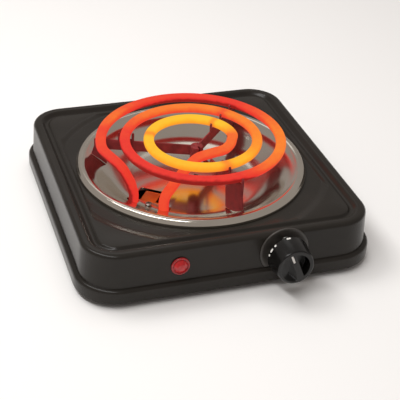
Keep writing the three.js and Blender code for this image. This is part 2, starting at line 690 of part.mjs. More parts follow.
// Element flange: a plate crimped on both legs under the pan, its tongue below the window
const flangeBorder = 3; // plate beyond the legs
const flangeSheet = 1;
const flangeLength = legSpacing + tubeWidth + 2 * flangeBorder;
const flangeWidth = tubeWidth + 2 * flangeBorder;
const tongueEnd = windowEdge + windowDepth - tongueMargin;
add('element_flange', cut(
  join(
    block(flangeLength, flangeWidth, flangeSheet, 0, 0, barHigh - flangeSheet / 2),
    block(tongueWidth, tongueEnd, flangeSheet, windowShift, -tongueEnd / 2, barHigh - flangeSheet / 2)),
  ...atLegs(rod(tubeWidth / 2 + holePlay, cutLow, cutHigh)),
  flangeScrewHole,
), 'zincSteel', legStation);
const flangeScrewRadius = Math.hypot(burnerOffset + legStation.position.x, legStation.position.y);
const flangeScrewSeat = panSurface(flangeScrewRadius + screwHead) + seat;
add('flange_screw', screwUp(
  screwHead, screwHeadHeight, smallShank, flangeScrewSeat - barHigh + flangeSheet + seat)
  .rotateX(Math.PI).translate(0, 0, flangeScrewSeat), 'zincSteel', legStation);

// Terminal block: ceramic, under the legs, with a seal, a pin and a clamping screw for each
const sealRadius = 3.4;
const sealHeight = 2.4;
const pinRadius = 1.4;
const pinShare = 0.9; // of the block's height
const blockMargin = 8; // block past a leg
const blockWidth = 16;
const blockGroove = 4; // groove between the two terminals
const terminalShank = 1.7;
const terminalHead = 2.9;
const terminalHeadHeight = 1.8;
const sealHigh = legEnd - seat;
const sealLow = sealHigh - sealHeight;
const blockHigh = sealLow - seat;
const blockLow = plateHigh + seat;
const pinHigh = sealLow - seat;
const pinLength = pinShare * (blockHigh - blockLow);
const terminalZ = pinHigh - pinLength / 2;
add('terminal_block', cut(
  block(legSpacing + 2 * blockMargin, blockWidth, blockHigh - blockLow, 0, 0, (blockHigh + blockLow) / 2),
  block(blockGroove, blockWidth + overrun, blockGroove, 0, 0, blockHigh),
  ...atLegs(rod(pinRadius + holePlay, pinHigh - pinLength - seat, blockHigh + overrun, holeSegments)),
  ...atLegs(rodOut(terminalShank + holePlay, 0, blockWidth, holeSegments).translate(0, 0, terminalZ)),
), 'ceramic', legStation);
legSides.forEach(([leg], i) => {
  add(`element_seal_${leg}`, atLegs(rod(sealRadius, sealLow, sealHigh))[i], 'ceramic', legStation);
  add(`element_pin_${leg}`, atLegs(
    rod(pinRadius, pinHigh - pinLength, pinHigh, holeSegments))[i], 'zincSteel', legStation);
  add(`terminal_screw_${leg}`, atLegs(
    screwUp(terminalHead, terminalHeadHeight, terminalShank, blockWidth / 2 - pinRadius)
      .rotateX(-Math.PI / 2).translate(0, -blockWidth / 2 - seat, terminalZ))[i], 'brass', legStation);
});

// Thermostat, in the knob's station
const bushBore = 3.45;
const spindleRadius = 3;
const ringSheet = 1.2; // dial ring
const ringRadius = 18.3;
const fixingHead = 2.6;
const fixingHeadHeight = 0.9;
const fixingGrip = 2; // thread past the frame
const frameSheet = 1.4;
const frameHalf = wallHalf - seat;
const stackX = 15; // stack's axis, right of the spindle's
const stackRadius = 5.5;
const stackShank = 1.6;
const stackHead = 3.2;
const stackHeadHeight = 1.6;
const spacerLengths = { front: 5, middle: 4.4, back: 3 };
const bladeSheet = 0.8;
const bladeWidth = 7;
const bladePlay = 0.7; // blade's hole over the stack screw
const studRadius = 1.8;
const studX = 8; // contact studs, from the stack's axis
const contactGap = 0.6; // between the two studs
const tabReach = 12; // soldering tab past the stack's axis
const spindleGap = 0.7; // spindle's tip to the setting blade
const neckOut = seat + ringSheet;
const frameIn = sheet + seat;
const frameEnd = frameIn + frameSheet;
const ringFlat = controlHeight - wallFoot - seat; // the ring is cut level over the flange

const fixingHoles = [-1, 1].map((side) =>
  rodOut(screwHole, -frameEnd - overrun, neckOut + overrun, holeSegments)
    .translate(0, 0, side * fixingRise));
const stackHole = (radius, low, high) =>
  rodOut(radius, -high, -low, holeSegments).translate(stackX, 0, 0);
add('dial_ring', cut(
  turnedOut([
    [neckRadius + holePlay, seat], [ringRadius, seat], [ringRadius, neckOut - ringSheet / 3],
    [ringRadius - ringSheet / 2, neckOut], [neckRadius + holePlay, neckOut]], ringSegments),
  block(2 * ringRadius, 2 * overrun, ringRadius, 0, -neckOut, -ringFlat - ringRadius / 2),
  ...fixingHoles,
), 'blackPlastic', knobStation);
add('thermostat_frame', cut(
  join(
    block(frameHalf + stackX + stackRadius, frameSheet, 2 * frameHalf,
      (stackX + stackRadius - frameHalf) / 2, frameIn + frameSheet / 2, 0),
    rodOut(neckRadius, -frameIn - frameSheet / 2, neckOut)),
  rodOut(bushBore, -frameEnd - overrun, neckOut + overrun),
  ...fixingHoles,
  stackHole(stackShank + holePlay, frameIn - overrun, frameEnd + overrun),
), 'zincSteel', knobStation);
for (const [name, side] of [['upper', 1], ['lower', -1]]) {
  add(`thermostat_screw_${name}`, screwUp(
    fixingHead, fixingHeadHeight, smallShank, neckOut + seat + frameEnd + fixingGrip)
    .rotateX(-Math.PI / 2).translate(0, -neckOut - seat, side * fixingRise), 'zincSteel', knobStation);
}

// The stack: ceramic spacers and two spring blades on one screw
const frontLow = frameEnd + seat;
const settingLow = frontLow + spacerLengths.front + seat;
const middleLow = settingLow + bladeSheet + seat;
const contactLow = middleLow + spacerLengths.middle + seat;
const backLow = contactLow + bladeSheet + seat;
const stackEnd = backLow + spacerLengths.back + seat;
for (const [name, low] of Object.entries({ front: frontLow, middle: middleLow, back: backLow })) {
  const high = low + spacerLengths[name];
  add(`ceramic_spacer_${name}`, cut(
    stackHole(stackRadius, low, high),
    stackHole(stackShank + holePlay, low - overrun, high + overrun)), 'ceramic', knobStation);
}
add('stack_screw', screwUp(stackHead, stackHeadHeight, stackShank, stackEnd - frameIn)
  .rotateX(Math.PI / 2).translate(stackX, stackEnd, 0), 'zincSteel', knobStation);

// Blade with a contact stud, from its soldering tab past the stack to its free end
function blade(low, end, studLow, studHigh) {
  const start = stackX + tabReach;
  return cut(
    join(
      block(start - end, bladeSheet, bladeWidth, (start + end) / 2, low + bladeSheet / 2, 0),
      stackHole(studRadius, studLow, studHigh).translate(-studX, 0, 0)),
    stackHole(stackShank + bladePlay, low - overrun, low + bladeSheet + overrun));
}
const studLength = (contactLow - settingLow - bladeSheet - contactGap) / 2;
add('setting_blade', blade(
  settingLow, -spindleRadius - studRadius,
  settingLow + bladeSheet / 2, settingLow + bladeSheet + studLength), 'brass', knobStation);
add('contact_blade', blade(
  contactLow, stackX - studX - 2 * studRadius,
  contactLow - studLength, contactLow + bladeSheet / 2), 'brass', knobStation);

// Knob: a tapered cap with a grip bar between two half-moon pockets, at rest turned to the left
const knobTurn = 22; // degrees
const knobBevel = 1.2;
const knobEdge = 0.8; // chamfer at the back
const knobLift = 2.9; // back of the cap past the back of its boss
const rimWall = 2;
const webSheet = 2; // floor of the pockets
const gripWidth = 5.6;
const pocketDepth = 8.5;
const bossWall = 2.4; // knob's boss round the spindle
const pointerWidth = 1.5;
const pointerLength = 6;
const pointerDepth = 0.75;
const bossRadius = spindleRadius + bossWall;
const knobLow = flangeReach + wallRun / 2 + seat;
const knobBack = knobLow + knobLift;
const knobHigh = knobLow + knobLength;
const webHigh = knobHigh - pocketDepth;
const webLow = webHigh - webSheet;
const pocketRadius = knobFace - knobBevel - rimWall;
const sideShare = (webLow - knobBack) / (knobHigh - knobBevel - knobBack);
const hollowEnd = knobRadius + sideShare * (knobFace - knobRadius) - rimWall;
const pocketSteps = 10;
const knobGroup = new THREE.Group();
knobGroup.rotation.y = THREE.MathUtils.degToRad(-knobTurn);
knobStation.add(knobGroup);

function pocket(side) {
  const open = Math.acos(gripWidth / 2 / pocketRadius);
  const points = [];
  for (let k = 0; k <= pocketSteps; k++) {
    const turn = open * ((2 * k) / pocketSteps - 1);
    points.push([side * pocketRadius * Math.cos(turn), pocketRadius * Math.sin(turn)]);
  }
  return slab(points, webHigh, knobHigh + overrun).rotateX(Math.PI / 2);
}
const pointerZ = pocketRadius - pointerLength / 2;
const boreFloor = 0.8; // between the knob's bore and the level of the pockets' floor
const spindleOut = webHigh - boreFloor - seat;
const spindleFlat = 0.8; // depth of the spindle's flat
const spindleChamfer = 0.8;
const spindleTip = -settingLow + spindleGap;
const flatBlock = (play) => block(2 * knobRadius, spindleOut - knobLow + overrun, spindleRadius,
  0, -knobLow - (spindleOut - knobLow + overrun) / 2, 1.5 * spindleRadius - spindleFlat + play);
const knobBore = cut(
  rodOut(spindleRadius + holePlay, knobLow - overrun, spindleOut + seat),
  flatBlock(seat));
add('knob', cut(
  turnedOut([
    [0, knobLow], [bossRadius, knobLow], [bossRadius, webLow], [hollowEnd, webLow],
    [knobRadius - rimWall, knobBack], [knobRadius - knobEdge, knobBack], [knobRadius, knobBack + knobEdge],
    [knobFace, knobHigh - knobBevel], [knobFace - knobBevel, knobHigh], [0, knobHigh]], knobSegments),
  pocket(1), pocket(-1), knobBore,
  block(
    pointerWidth + 2 * seat, 2 * (pointerDepth + seat), pointerLength + 2 * seat, 0, -knobHigh, pointerZ),
), 'blackPlastic', knobGroup);
add('knob_pointer', block(
  pointerWidth, pointerDepth, pointerLength, 0, -knobHigh + pointerDepth / 2, pointerZ),
'whitePrint', knobGroup);
add('thermostat_spindle', cut(
  turnedOut([
    [0, spindleTip], [spindleRadius - spindleChamfer, spindleTip],
    [spindleRadius, spindleTip + spindleChamfer],
    [spindleRadius, spindleOut], [0, spindleOut]]),
  flatBlock(0),
), 'zincSteel', knobGroup);

// Lamp, in its station: a red lens clipped through the wall, with a neon bulb inside
const lensFlange = 6.8;
const lensDome = 5.2;
const lensRise = 2.6;
const lensSheet = 1.3;
const barrelLength = 9;
const bulbRadius = 3;
const bulbLength = 11;
const nutRadius = 7.4;
const nutLength = 3.4;
const lensBore = bulbRadius + holePlay;
// [share of the dome's radius, share of its height], from its foot to the middle
const domeShares = [[1, 0], [0.82, 0.34], [0.42, 0.86], [0, 1]];
add('lamp_lens', turnedOut([
  [0, seat], [lensBore, seat], [lensBore, -barrelLength], [lampBarrel, -barrelLength],
  [lampBarrel, seat], [lensFlange, seat], [lensFlange, seat + lensSheet / 2],
  [lensFlange - lensSheet / 2, seat + lensSheet],
  ...domeShares.map(([r, h]) => [r * lensDome, seat + lensSheet + h * lensRise])], lensSegments),
'redLens', lampStation);
add('lamp_nut', cut(
  rodOut(nutRadius, -frameIn - nutLength, -frameIn, 6),
  rodOut(lampBarrel + holePlay, -frameIn - nutLength - overrun, overrun)), 'blackPlastic', lampStation);
add('neon_bulb', turnedOut([
  [0, -bulbLength], [bulbRadius, -bulbLength], [bulbRadius, -bulbRadius],
  [bulbRadius / 2, -seat], [0, 0]], holeSegments), 'glass', lampStation);

// Cord inlet: a grooved bush in the back wall
const bushShare = 0.726; // bush's flange, of the wall's half height
const bushFlange = bushShare * wallHalf;
const bushOut = 4.6;
const bushIn = 3;
const cordBore = 3.7;
add('cord_inlet', turnedOut([
  [cordBore, -frameIn - bushIn], [bushFlange - seat, -frameIn - bushIn], [bushFlange, -frameIn],
  [inletWaist, -frameIn], [inletWaist, seat], [bushFlange, seat], [bushFlange, seat + bushOut / 3],
  [inletWaist + sheet, seat + bushOut], [cordBore, seat + bushOut]]), 'rubber', inletStation);

// Earth terminal on the base plate, ready for the cord's earth wire
const tagLow = plateHigh + seat;
const tagLength = 18;
const tagWidth = 8;
const earthHead = 3.3;
const earthHeadHeight = 2;
add('earth_tag', cut(
  block(tagWidth, tagLength, sheet, 0, (tagLength - tagWidth) / 2, tagLow + sheet / 2),
  rod(earthShank + holePlay, tagLow - overrun, tagLow + overrun, holeSegments),
).translate(earthX, earthY, 0), 'brass');
add('earth_screw', screwUp(earthHead, earthHeadHeight, earthShank, tagLow + sheet + seat - plateLow)
  .rotateX(Math.PI).translate(earthX, earthY, tagLow + sheet + seat), 'brass');

// Internal leads in sleeves: the load lead from the thermostat, and the lamp's two leads
const leadRadius = 1.1;
const leadSides = 8;
const leadSpacing = 6 * leadRadius;
const leadRun = 4 * leadRadius; // straight run at each end
const leadLow = plateHigh + 2 * leadRadius;
function lead(points) {
  const shape = new THREE.Shape();
  for (let k = 0; k < leadSides; k++) {
    const turn = (2 * Math.PI * k) / leadSides;
    shape[k ? 'lineTo' : 'moveTo'](leadRadius * Math.cos(turn), leadRadius * Math.sin(turn));
  }
  const route = new THREE.CatmullRomCurve3(points, false, 'centripetal');
  return new THREE.ExtrudeGeometry(shape, {
    extrudePath: route, steps: Math.ceil(route.getLength() / leadSpacing), bevelEnabled: false });
}
root.updateMatrixWorld(true);
const world = (station, x, y, z) => new THREE.Vector3(x, y, z).applyMatrix4(station.matrixWorld);
const portFace = blockWidth / 2 + seat;
const port = (x) => [
  world(legStation, x, portFace + leadRun, terminalZ), world(legStation, x, portFace, terminalZ)];
const between = (a, b, share, z) => new THREE.Vector3().lerpVectors(a, b, share).setZ(z);
const innerPort = port((-legSpacing - blockMargin) / 2);
const tabEnd = world(knobStation, stackX + tabReach + seat, contactLow + bladeSheet / 2, 0);
const tabBend = tabEnd.clone().add(new THREE.Vector3(leadRun, 0, -leadRadius));
const leadDrop = new THREE.Vector3(tabEnd.x, tabEnd.y + 2 * leadRun, leadLow + leadRun);
add('lead_load', lead([
  tabEnd, tabBend, leadDrop, between(leadDrop, innerPort[0], 0.4, leadLow), ...innerPort]), 'sleeve');
const lampPorts = [port((legSpacing - blockMargin) / 2), port((-legSpacing + blockMargin) / 2)];
['a', 'b'].forEach((name, i) => {
  const side = 2 * i - 1;
  const start = world(lampStation, side * 1.6 * leadRadius, bulbLength + seat, 0);
  const straight = world(lampStation, side * 2 * leadRadius, bulbLength + leadRun, 0);
  add(`lamp_lead_${name}`, lead([
    start, straight, between(straight, lampPorts[i][0], 0.6, leadLow + leadRun),
    ...lampPorts[i]]), 'sleeve');
});

// The whole stands on z = 0, with the middle of its outline over the origin
root.updateMatrixWorld(true);
const outline = new THREE.Box3().setFromObject(root, true);
for (const child of root.children) child.position.y -= (outline.min.y + outline.max.y) / 2;

export default root;
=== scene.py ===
# A portable electric hot plate with one glowing spiral burner, dressed for its picture.
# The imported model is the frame. Pieces follow in the order in which the plate is put together.
import json
import math

import bmesh
import bpy
from mathutils import Matrix, Vector
from mathutils.geometry import interpolate_bezier


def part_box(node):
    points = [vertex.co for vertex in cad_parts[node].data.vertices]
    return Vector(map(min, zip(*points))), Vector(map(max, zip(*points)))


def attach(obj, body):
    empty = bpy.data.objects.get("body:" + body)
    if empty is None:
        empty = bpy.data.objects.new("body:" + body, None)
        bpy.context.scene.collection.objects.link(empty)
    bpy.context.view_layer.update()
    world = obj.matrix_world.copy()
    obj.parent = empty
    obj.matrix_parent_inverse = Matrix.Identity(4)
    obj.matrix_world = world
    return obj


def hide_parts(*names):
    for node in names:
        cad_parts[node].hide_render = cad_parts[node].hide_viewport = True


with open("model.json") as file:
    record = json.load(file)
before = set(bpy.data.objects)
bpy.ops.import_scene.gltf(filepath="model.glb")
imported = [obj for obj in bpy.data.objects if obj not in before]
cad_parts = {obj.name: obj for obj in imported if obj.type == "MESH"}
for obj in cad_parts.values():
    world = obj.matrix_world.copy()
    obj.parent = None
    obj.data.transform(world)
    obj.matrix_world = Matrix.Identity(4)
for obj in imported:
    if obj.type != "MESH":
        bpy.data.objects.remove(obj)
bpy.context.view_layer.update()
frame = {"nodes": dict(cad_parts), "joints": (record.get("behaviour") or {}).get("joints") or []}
nodes = frame["nodes"]

# Case: one sheet of steel, 0.8 mm thick, deep-drawn with a foot flange, a groove round its top
# and a round dish for the pan. It is sprayed with black enamel and baked, which leaves a soft
# gloss over a faint orange peel.
MM = 0.001
case_low, case_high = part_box("housing")
case_middle = (case_low + case_high) / 2
case_size = case_high - case_low
corner_radius = 30.5 * MM
case_sheet = 0.8 * MM
edge_round = 0.6 * MM
corner_steps = 14
side_cuts = 27
# Insets from the flange's outline and heights above the floor, in millimetres
flange_top = 15.4
flange_reach = 3.7
flange_round = 3.0
wall_foot = 16.0
wall_inset = 4.8
shoulder_foot = 38.6
shoulder_top = 41.8
shoulder_round = 3.2
groove_outer = 10.8
groove_floor = (15.1, 16.1)
groove_low = 38.6
panel_inset = 18.7
panel_top = 40.4
dish_insets = (20.3, 22.1)
dish_circles = (109, 100.5)
dish_shares = (0.12, 0.25, 0.4, 0.55, 0.7, 0.85, 1)
dish_low = 38.9
hole_circles = (92, 83)
# Shares of its round by which the flange's lower edge turns in and down
edge_turns = ((0.2, 0.4), (0.8, 0.6))


def linear(colour):
    """An sRGB hex colour as the linear values that a shader's socket takes."""
    parts = [int(colour[i:i + 2], 16) / 255 for i in (1, 3, 5)]
    return (*[p / 12.92 if p <= 0.04045 else ((p + 0.055) / 1.055) ** 2.4 for p in parts], 1)


def add_node(material, kind, links=None, **settings):
    """Adds a node, sets its properties, and gives each named socket a value or a link."""
    made = material.node_tree.nodes.new(kind)
    for name, value in settings.items():
        setattr(made, name, value)
    for socket, source in (links or {}).items():
        if isinstance(source, bpy.types.NodeSocket):
            material.node_tree.links.new(source, made.inputs[socket])
        else:
            made.inputs[socket].default_value = source
    return made


def new_material(name, **surface):
    """A material and its shader, with the shader's own sockets set."""
    material = bpy.data.materials.new(name)
    material.use_nodes = True
    shader = material.node_tree.nodes["Principled BSDF"]
    for socket, value in surface.items():
        shader.inputs[socket.replace("_", " ")].default_value = value
    return material, shader


def vary(material, shader, pattern, **sockets):
    """Lets sockets of a shader follow a pattern.

    A colour runs between two hex values, over the middle of the pattern's range, and a number
    between two numbers. The normal takes the strength and the depth of a bump.
    """
    for name, (low, high) in sockets.items():
        if name == "Normal":
            made = add_node(material, "ShaderNodeBump", {
                "Height": pattern, "Strength": low, "Distance": high})
        elif isinstance(low, str):
            made = add_node(material, "ShaderNodeValToRGB", {"Fac": pattern})
            for stop, place, colour in zip(made.color_ramp.elements, (0.3, 0.7), (low, high)):
                stop.position = place
                stop.color = linear(colour)
        else:
            made = add_node(material, "ShaderNodeMapRange", {
                "Value": pattern, "To Min": low, "To Max": high})
        material.node_tree.links.new(made.outputs[0], shader.inputs[name.replace("_", " ")])


def speckle(material, size, detail=3.0):
    """Noise over the object, with features of a real size in metres."""
    place = add_node(material, "ShaderNodeTexCoord").outputs["Object"]
    return add_node(material, "ShaderNodeTexNoise", {
        "Vector": place, "Scale": 1 / size, "Detail": detail}).outputs["Fac"]


def begin(add, place=(0, 0, 0), **values):
    """Adds a primitive, its object at the origin, and opens it for editing at its place."""
    bpy.ops.object.select_all(action="DESELECT")
    add(**values)
    piece = bpy.context.object
    bpy.ops.object.mode_set(mode="EDIT")
    bpy.ops.transform.translate(value=place)
    return piece


def close():
    """Ends the editing of a piece."""
    bpy.ops.object.mode_set(mode="OBJECT")


def block(size, place=(0, 0, 0)):
    """A block of a size at its place, open for editing."""
    piece = begin(bpy.ops.mesh.primitive_cube_add, place, size=1)
    bpy.ops.transform.resize(value=size, center_override=place)
    return piece


def pick(piece, kind, test):
    """Selects the points, edges or faces of a piece in edit mode that pass a test."""
    modes = {"verts": "VERT", "edges": "EDGE", "faces": "FACE"}
    bpy.ops.mesh.select_mode(type=modes[kind])
    bpy.ops.mesh.select_all(action="DESELECT")
    mesh = bmesh.from_edit_mesh(piece.data)
    for part in getattr(mesh, kind):
        if test(part):
            part.select_set(True)
    bmesh.update_edit_mesh(piece.data)


def select_only(piece):
    """Selects one object and makes it active."""
    bpy.ops.object.select_all(action="DESELECT")
    bpy.context.view_layer.objects.active = piece
    piece.select_set(True)


def apply_modifier(piece, kind, **settings):
    """Adds a modifier to a piece and applies it."""
    select_only(piece)
    modifier = piece.modifiers.new(kind.title(), kind)
    for name, value in settings.items():
        setattr(modifier, name, value)
    bpy.ops.object.modifier_apply(modifier=modifier.name)


def copied(model, place=Matrix.Identity(4)):
    """A copy of a piece, with its own mesh, moved to a place."""
    piece = bpy.data.objects.new(model.name + "_copy", model.data.copy())
    piece.data.transform(place)
    bpy.context.scene.collection.objects.link(piece)
    return piece


def merged(pieces):
    """Joins pieces into the first one."""
    bpy.ops.object.select_all(action="DESELECT")
    for piece in pieces:
        piece.select_set(True)
    bpy.context.view_layer.objects.active = pieces[0]
    bpy.ops.object.join()
    return pieces[0]


def cut_away(piece, cutters):
    """Cuts the cutters out of a piece, one after another, and removes them."""
    for cutter in cutters:
        apply_modifier(piece, "BOOLEAN", object=cutter, operation="DIFFERENCE", solver="EXACT")
        bpy.data.objects.remove(cutter)


def fit(piece, name, body, material, replaced=(), smooth=30):
    """Names a piece, smooths it, dresses it and ties it to its body."""
    piece.name = piece.data.name = name
    select_only(piece)
    bpy.ops.object.shade_smooth_by_angle(angle=math.radians(smooth))
    piece.data.materials.clear()
    piece.data.materials.append(material)
    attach(piece, body)
    if replaced:
        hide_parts(*replaced)


def arc(middle, radius, start, end, steps):
    """Points of an arc, its ends included, between two angles in degrees.

    The radius is a number, or a pair of them for an ellipse.
    """
    wide, high = radius if isinstance(radius, tuple) else (radius, radius)
    turns = [math.radians(start + (end - start) * k / steps) for k in range(steps + 1)]
    return [(middle[0] + wide * math.cos(t), middle[1] + high * math.sin(t)) for t in turns]


def ease(share):
    """A share of a slope's fall, gentle at both ends."""
    return share * share * (3 - 2 * share)


def eased(start, end, steps):
    """Points of an S-shaped slope, without its first point."""
    return [
        (start[0] + (end[0] - start[0]) * k / steps,
         start[1] + (end[1] - start[1]) * ease(k / steps)) for k in range(1, steps + 1)]


section = [
    *arc((flange_round, flange_top - flange_round), flange_round, 180, 90, 6),
    (flange_reach - edge_round / MM / 3, flange_top),
    (flange_reach, wall_foot),
    *arc((wall_inset + shoulder_round, shoulder_foot), shoulder_round, 180, 90, 8),
    (groove_outer, shoulder_top),
    *eased((groove_outer, shoulder_top), (groove_floor[0], groove_low), 8),
    groove_floor[1:] + (groove_low,),
    *eased((groove_floor[1], groove_low), (panel_inset, panel_top), 7)]
dish = [
    (dish_insets[0] + share * (dish_insets[1] - dish_insets[0]),
     panel_top + ease(share) * (dish_low - panel_top),
     dish_circles[0] + share * (dish_circles[1] - dish_circles[0]))
    for share in (0, *dish_shares)]
hole = [(dish_insets[1] + 0.1 * k, dish_low, circle) for k, circle in enumerate(hole_circles, 1)]

rim_place = (case_middle.x, case_middle.y, case_low.z + edge_round)
case = begin(bpy.ops.mesh.primitive_plane_add, rim_place, size=1)
bpy.ops.transform.resize(value=(case_size.x, case_size.y, 1), center_override=rim_place)
bpy.ops.mesh.bevel(offset=corner_radius, segments=corner_steps, affect="VERTICES")
pick(case, "edges", lambda edge: edge.calc_length() > corner_radius)
bpy.ops.mesh.subdivide(number_cuts=side_cuts)
bpy.ops.mesh.select_mode(type="FACE")
bpy.ops.mesh.select_all(action="SELECT")
last_inset, last_height = section[0]
bpy.ops.mesh.extrude_region_move(
    TRANSFORM_OT_translate={"value": (0, 0, last_height * MM - rim_place[2])})
for inset, height, circle in [(*point, None) for point in section[1:]] + dish + hole:
    bpy.ops.mesh.inset(thickness=(inset - last_inset) * MM)
    bpy.ops.transform.translate(value=(0, 0, (height - last_height) * MM))
    last_inset, last_height = inset, height
    if circle:
        mesh = bmesh.from_edit_mesh(case.data)
        for point in (v for v in mesh.verts if v.select):
            way = (point.co - case_middle).xy
            way *= min(1, circle * MM / way.length)
            point.co.xy = case_middle.xy + way
        bmesh.update_edit_mesh(case.data)
bpy.ops.mesh.delete(type="FACE")
pick(case, "edges", lambda edge: edge.is_boundary and edge.verts[0].co.z < flange_top * MM / 2)
for way, drop in edge_turns:
    bpy.ops.mesh.extrude_edges_move(TRANSFORM_OT_translate={"value": (0, 0, -drop * edge_round)})
    bpy.ops.transform.resize(
        value=(*[1 - 2 * way * edge_round / side for side in case_size.xy], 1),
        center_override=(case_middle.x, case_middle.y, 0))
close()
apply_modifier(case, "SOLIDIFY", thickness=case_sheet, offset=-1, use_even_offset=True)

knob_axis = next(joint for joint in frame["joints"] if joint["name"] == "knob_turn")
knob_origin = Vector(knob_axis["pos_m"])
front_out = -Vector(knob_axis["axis"]).normalized()
back_out = Vector((0, -front_out.y, front_out.z))


def station(origin, out):
    """A place on a wall: x across, y up and z out of the case, as seen from outside."""
    up = Vector((0, 0, 1))
    up = (up - up.dot(out) * out).normalized()
    across = up.cross(out)
    return Matrix.Translation(origin) @ Matrix((across, up, out)).transposed().to_4x4()


def middle_of(node):
    low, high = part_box(node)
    return (low + high) / 2


def above(spot, height=0):
    """A place above a spot of the floor, its axis upright."""
    return Matrix.Translation((spot.x, spot.y, height))


def hole_cutter(radius, place, reach):
    """A round cutter through a wall at a place, its axis along the place's z."""
    cutter = begin(
        bpy.ops.mesh.primitive_cylinder_add, vertices=48, radius=radius, depth=2 * reach)
    close()
    cutter.data.transform(place)
    return cutter


knob_place = station(knob_origin, front_out)
lamp_place = station(Vector((middle_of("lamp_lens").x, knob_origin.y, knob_origin.z)), front_out)
inlet_place = station(
    Vector((middle_of("cord_inlet").x, 2 * case_middle.y - knob_origin.y, knob_origin.z)),
    back_out)
neck_hole = 5.25 * MM
lamp_hole = 5.05 * MM
inlet_hole = 5.55 * MM
screw_hole = 1.7 * MM
fixing_rise = 9.5 * MM
wall_reach = 3 * MM
cut_away(case, [
    hole_cutter(neck_hole, knob_place, wall_reach),
    hole_cutter(screw_hole, knob_place @ Matrix.Translation((0, fixing_rise, 0)), wall_reach),
    hole_cutter(screw_hole, knob_place @ Matrix.Translation((0, -fixing_rise, 0)), wall_reach),
    hole_cutter(lamp_hole, lamp_place, wall_reach),
    hole_cutter(inlet_hole, inlet_place, wall_reach)])

# The base plate's screws go into four tabs of the same sheet. They are spot-welded inside the
# front and back walls.
tab_size = (14 * MM, 12.8 * MM, 0.8 * MM)
tab_height = 6.5 * MM
tab_edge = 0.15 * MM
corners = ("front_left", "front_right", "back_left", "back_right")
tab = block(tab_size)
bpy.ops.mesh.bevel(offset=tab_edge, segments=2, affect="EDGES")
close()
cut_away(tab, [hole_cutter(screw_hole, Matrix.Identity(4), wall_reach)])
case = merged([case, *[
    copied(tab, above(middle_of(f"base_screw_{corner}"), tab_height)) for corner in corners]])
bpy.data.objects.remove(tab)

# Baked enamel is a dielectric over black steel. Its orange peel is about 1.5 mm across, and
# the gloss shifts a little over some centimetres where the spray lay thicker.
enamel, shader = new_material("baked_black_enamel", IOR=1.45, Specular_IOR_Level=0.28)
cloud = speckle(enamel, 40 * MM)
vary(enamel, shader, cloud, Base_Color=("#24211d", "#2a2622"), Roughness=(0.22, 0.28))
vary(enamel, shader, speckle(enamel, 1.5 * MM, 1.0), Normal=(0.05, 0.1 * MM))
fit(case, "enamelled_case", "case", enamel, ["housing"], smooth=35)

# Rotary thermostat, screwed behind the front wall. A plated steel frame with a neck for the
# spindle carries a stack of steatite spacers and two brass spring blades with contact studs.
# The spindle presses on the setting blade; turning it sets when the contacts part.


def dress(material, *names):
    """Gives CAD nodes that keep their shape a better material."""
    for name in names:
        for slot in nodes[name].material_slots:
            slot.material = material


# Zinc plating over mild steel: a pale grey metal with a faint spangle a few millimetres across.
zinc, shader = new_material("zinc_plated_steel", Metallic=1.0)
spangle = speckle(zinc, 4 * MM)
vary(zinc, shader, spangle, Base_Color=("#8d8d89", "#b4b4ae"), Roughness=(0.32, 0.48))
vary(zinc, shader, speckle(zinc, 0.6 * MM, 2.0), Normal=(0.08, 0.05 * MM))

# Rolled brass: a warm yellow metal, dulled in patches where it has been handled and heated.
brass, shader = new_material("rolled_brass", Metallic=1.0)
dulling = speckle(brass, 5 * MM)
vary(brass, shader, dulling, Base_Color=("#8f6f35", "#c9a55a"), Roughness=(0.25, 0.45))

# Unglazed steatite, pressed and fired: a dull cream ceramic with a fine grit.
steatite, shader = new_material("pressed_steatite", IOR=1.55)
grit = speckle(steatite, 0.8 * MM, 4.0)
vary(steatite, shader, grit, Base_Color=("#d6cfbe", "#ece6d8"), Roughness=(0.6, 0.75),
     Normal=(0.15, 0.05 * MM))

dress(zinc, "thermostat_frame", "thermostat_spindle")
dress(brass, "setting_blade", "contact_blade")
dress(steatite, "ceramic_spacer_front", "ceramic_spacer_middle", "ceramic_spacer_back")


def face_out():
    """Turns every face of the open piece outwards."""
    bpy.ops.mesh.select_all(action="SELECT")
    bpy.ops.mesh.normals_make_consistent(inside=False)


def turn(profile, segments, place=Matrix.Identity(4), sheet=0):
    """Turns a profile of (radius, height) points in millimetres into a solid, ring after ring.

    It starts and ends on the axis, or comes back to its first point for a piece with a bore.
    With a sheet's thickness, the start stays open, and the surface is thickened downwards.
    """
    closed = profile[0] == profile[-1]
    first = 0 if profile[0][0] else 1
    radius, height = profile[first]
    piece = begin(
        bpy.ops.mesh.primitive_circle_add, (0, 0, height * MM), vertices=segments,
        radius=radius * MM)
    for next_radius, next_height in profile[first + 1:]:
        bpy.ops.mesh.extrude_edges_move(
            TRANSFORM_OT_translate={"value": (0, 0, (next_height - height) * MM)})
        if next_radius:
            share = next_radius / radius
            bpy.ops.transform.resize(value=(share, share, 1), center_override=(0, 0, 0))
        else:
            bpy.ops.mesh.merge(type="CENTER")
        radius, height = next_radius, next_height
    if closed:
        bpy.ops.mesh.select_all(action="SELECT")
        bpy.ops.mesh.remove_doubles(threshold=0.001 * MM)
    elif not sheet:
        pick(piece, "edges", lambda edge: edge.is_boundary)
        bpy.ops.mesh.extrude_edges_move(
            TRANSFORM_OT_translate={"value": (0, 0, (profile[0][1] - profile[1][1]) * MM)})
        bpy.ops.mesh.merge(type="CENTER")
    face_out()
    if sheet and sum(face.normal.z for face in bmesh.from_edit_mesh(piece.data).faces) < 0:
        bpy.ops.mesh.flip_normals()
    close()
    if sheet:
        apply_modifier(piece, "SOLIDIFY", thickness=sheet * MM, offset=-1, use_even_offset=True)
    piece.data.transform(place)
    return piece


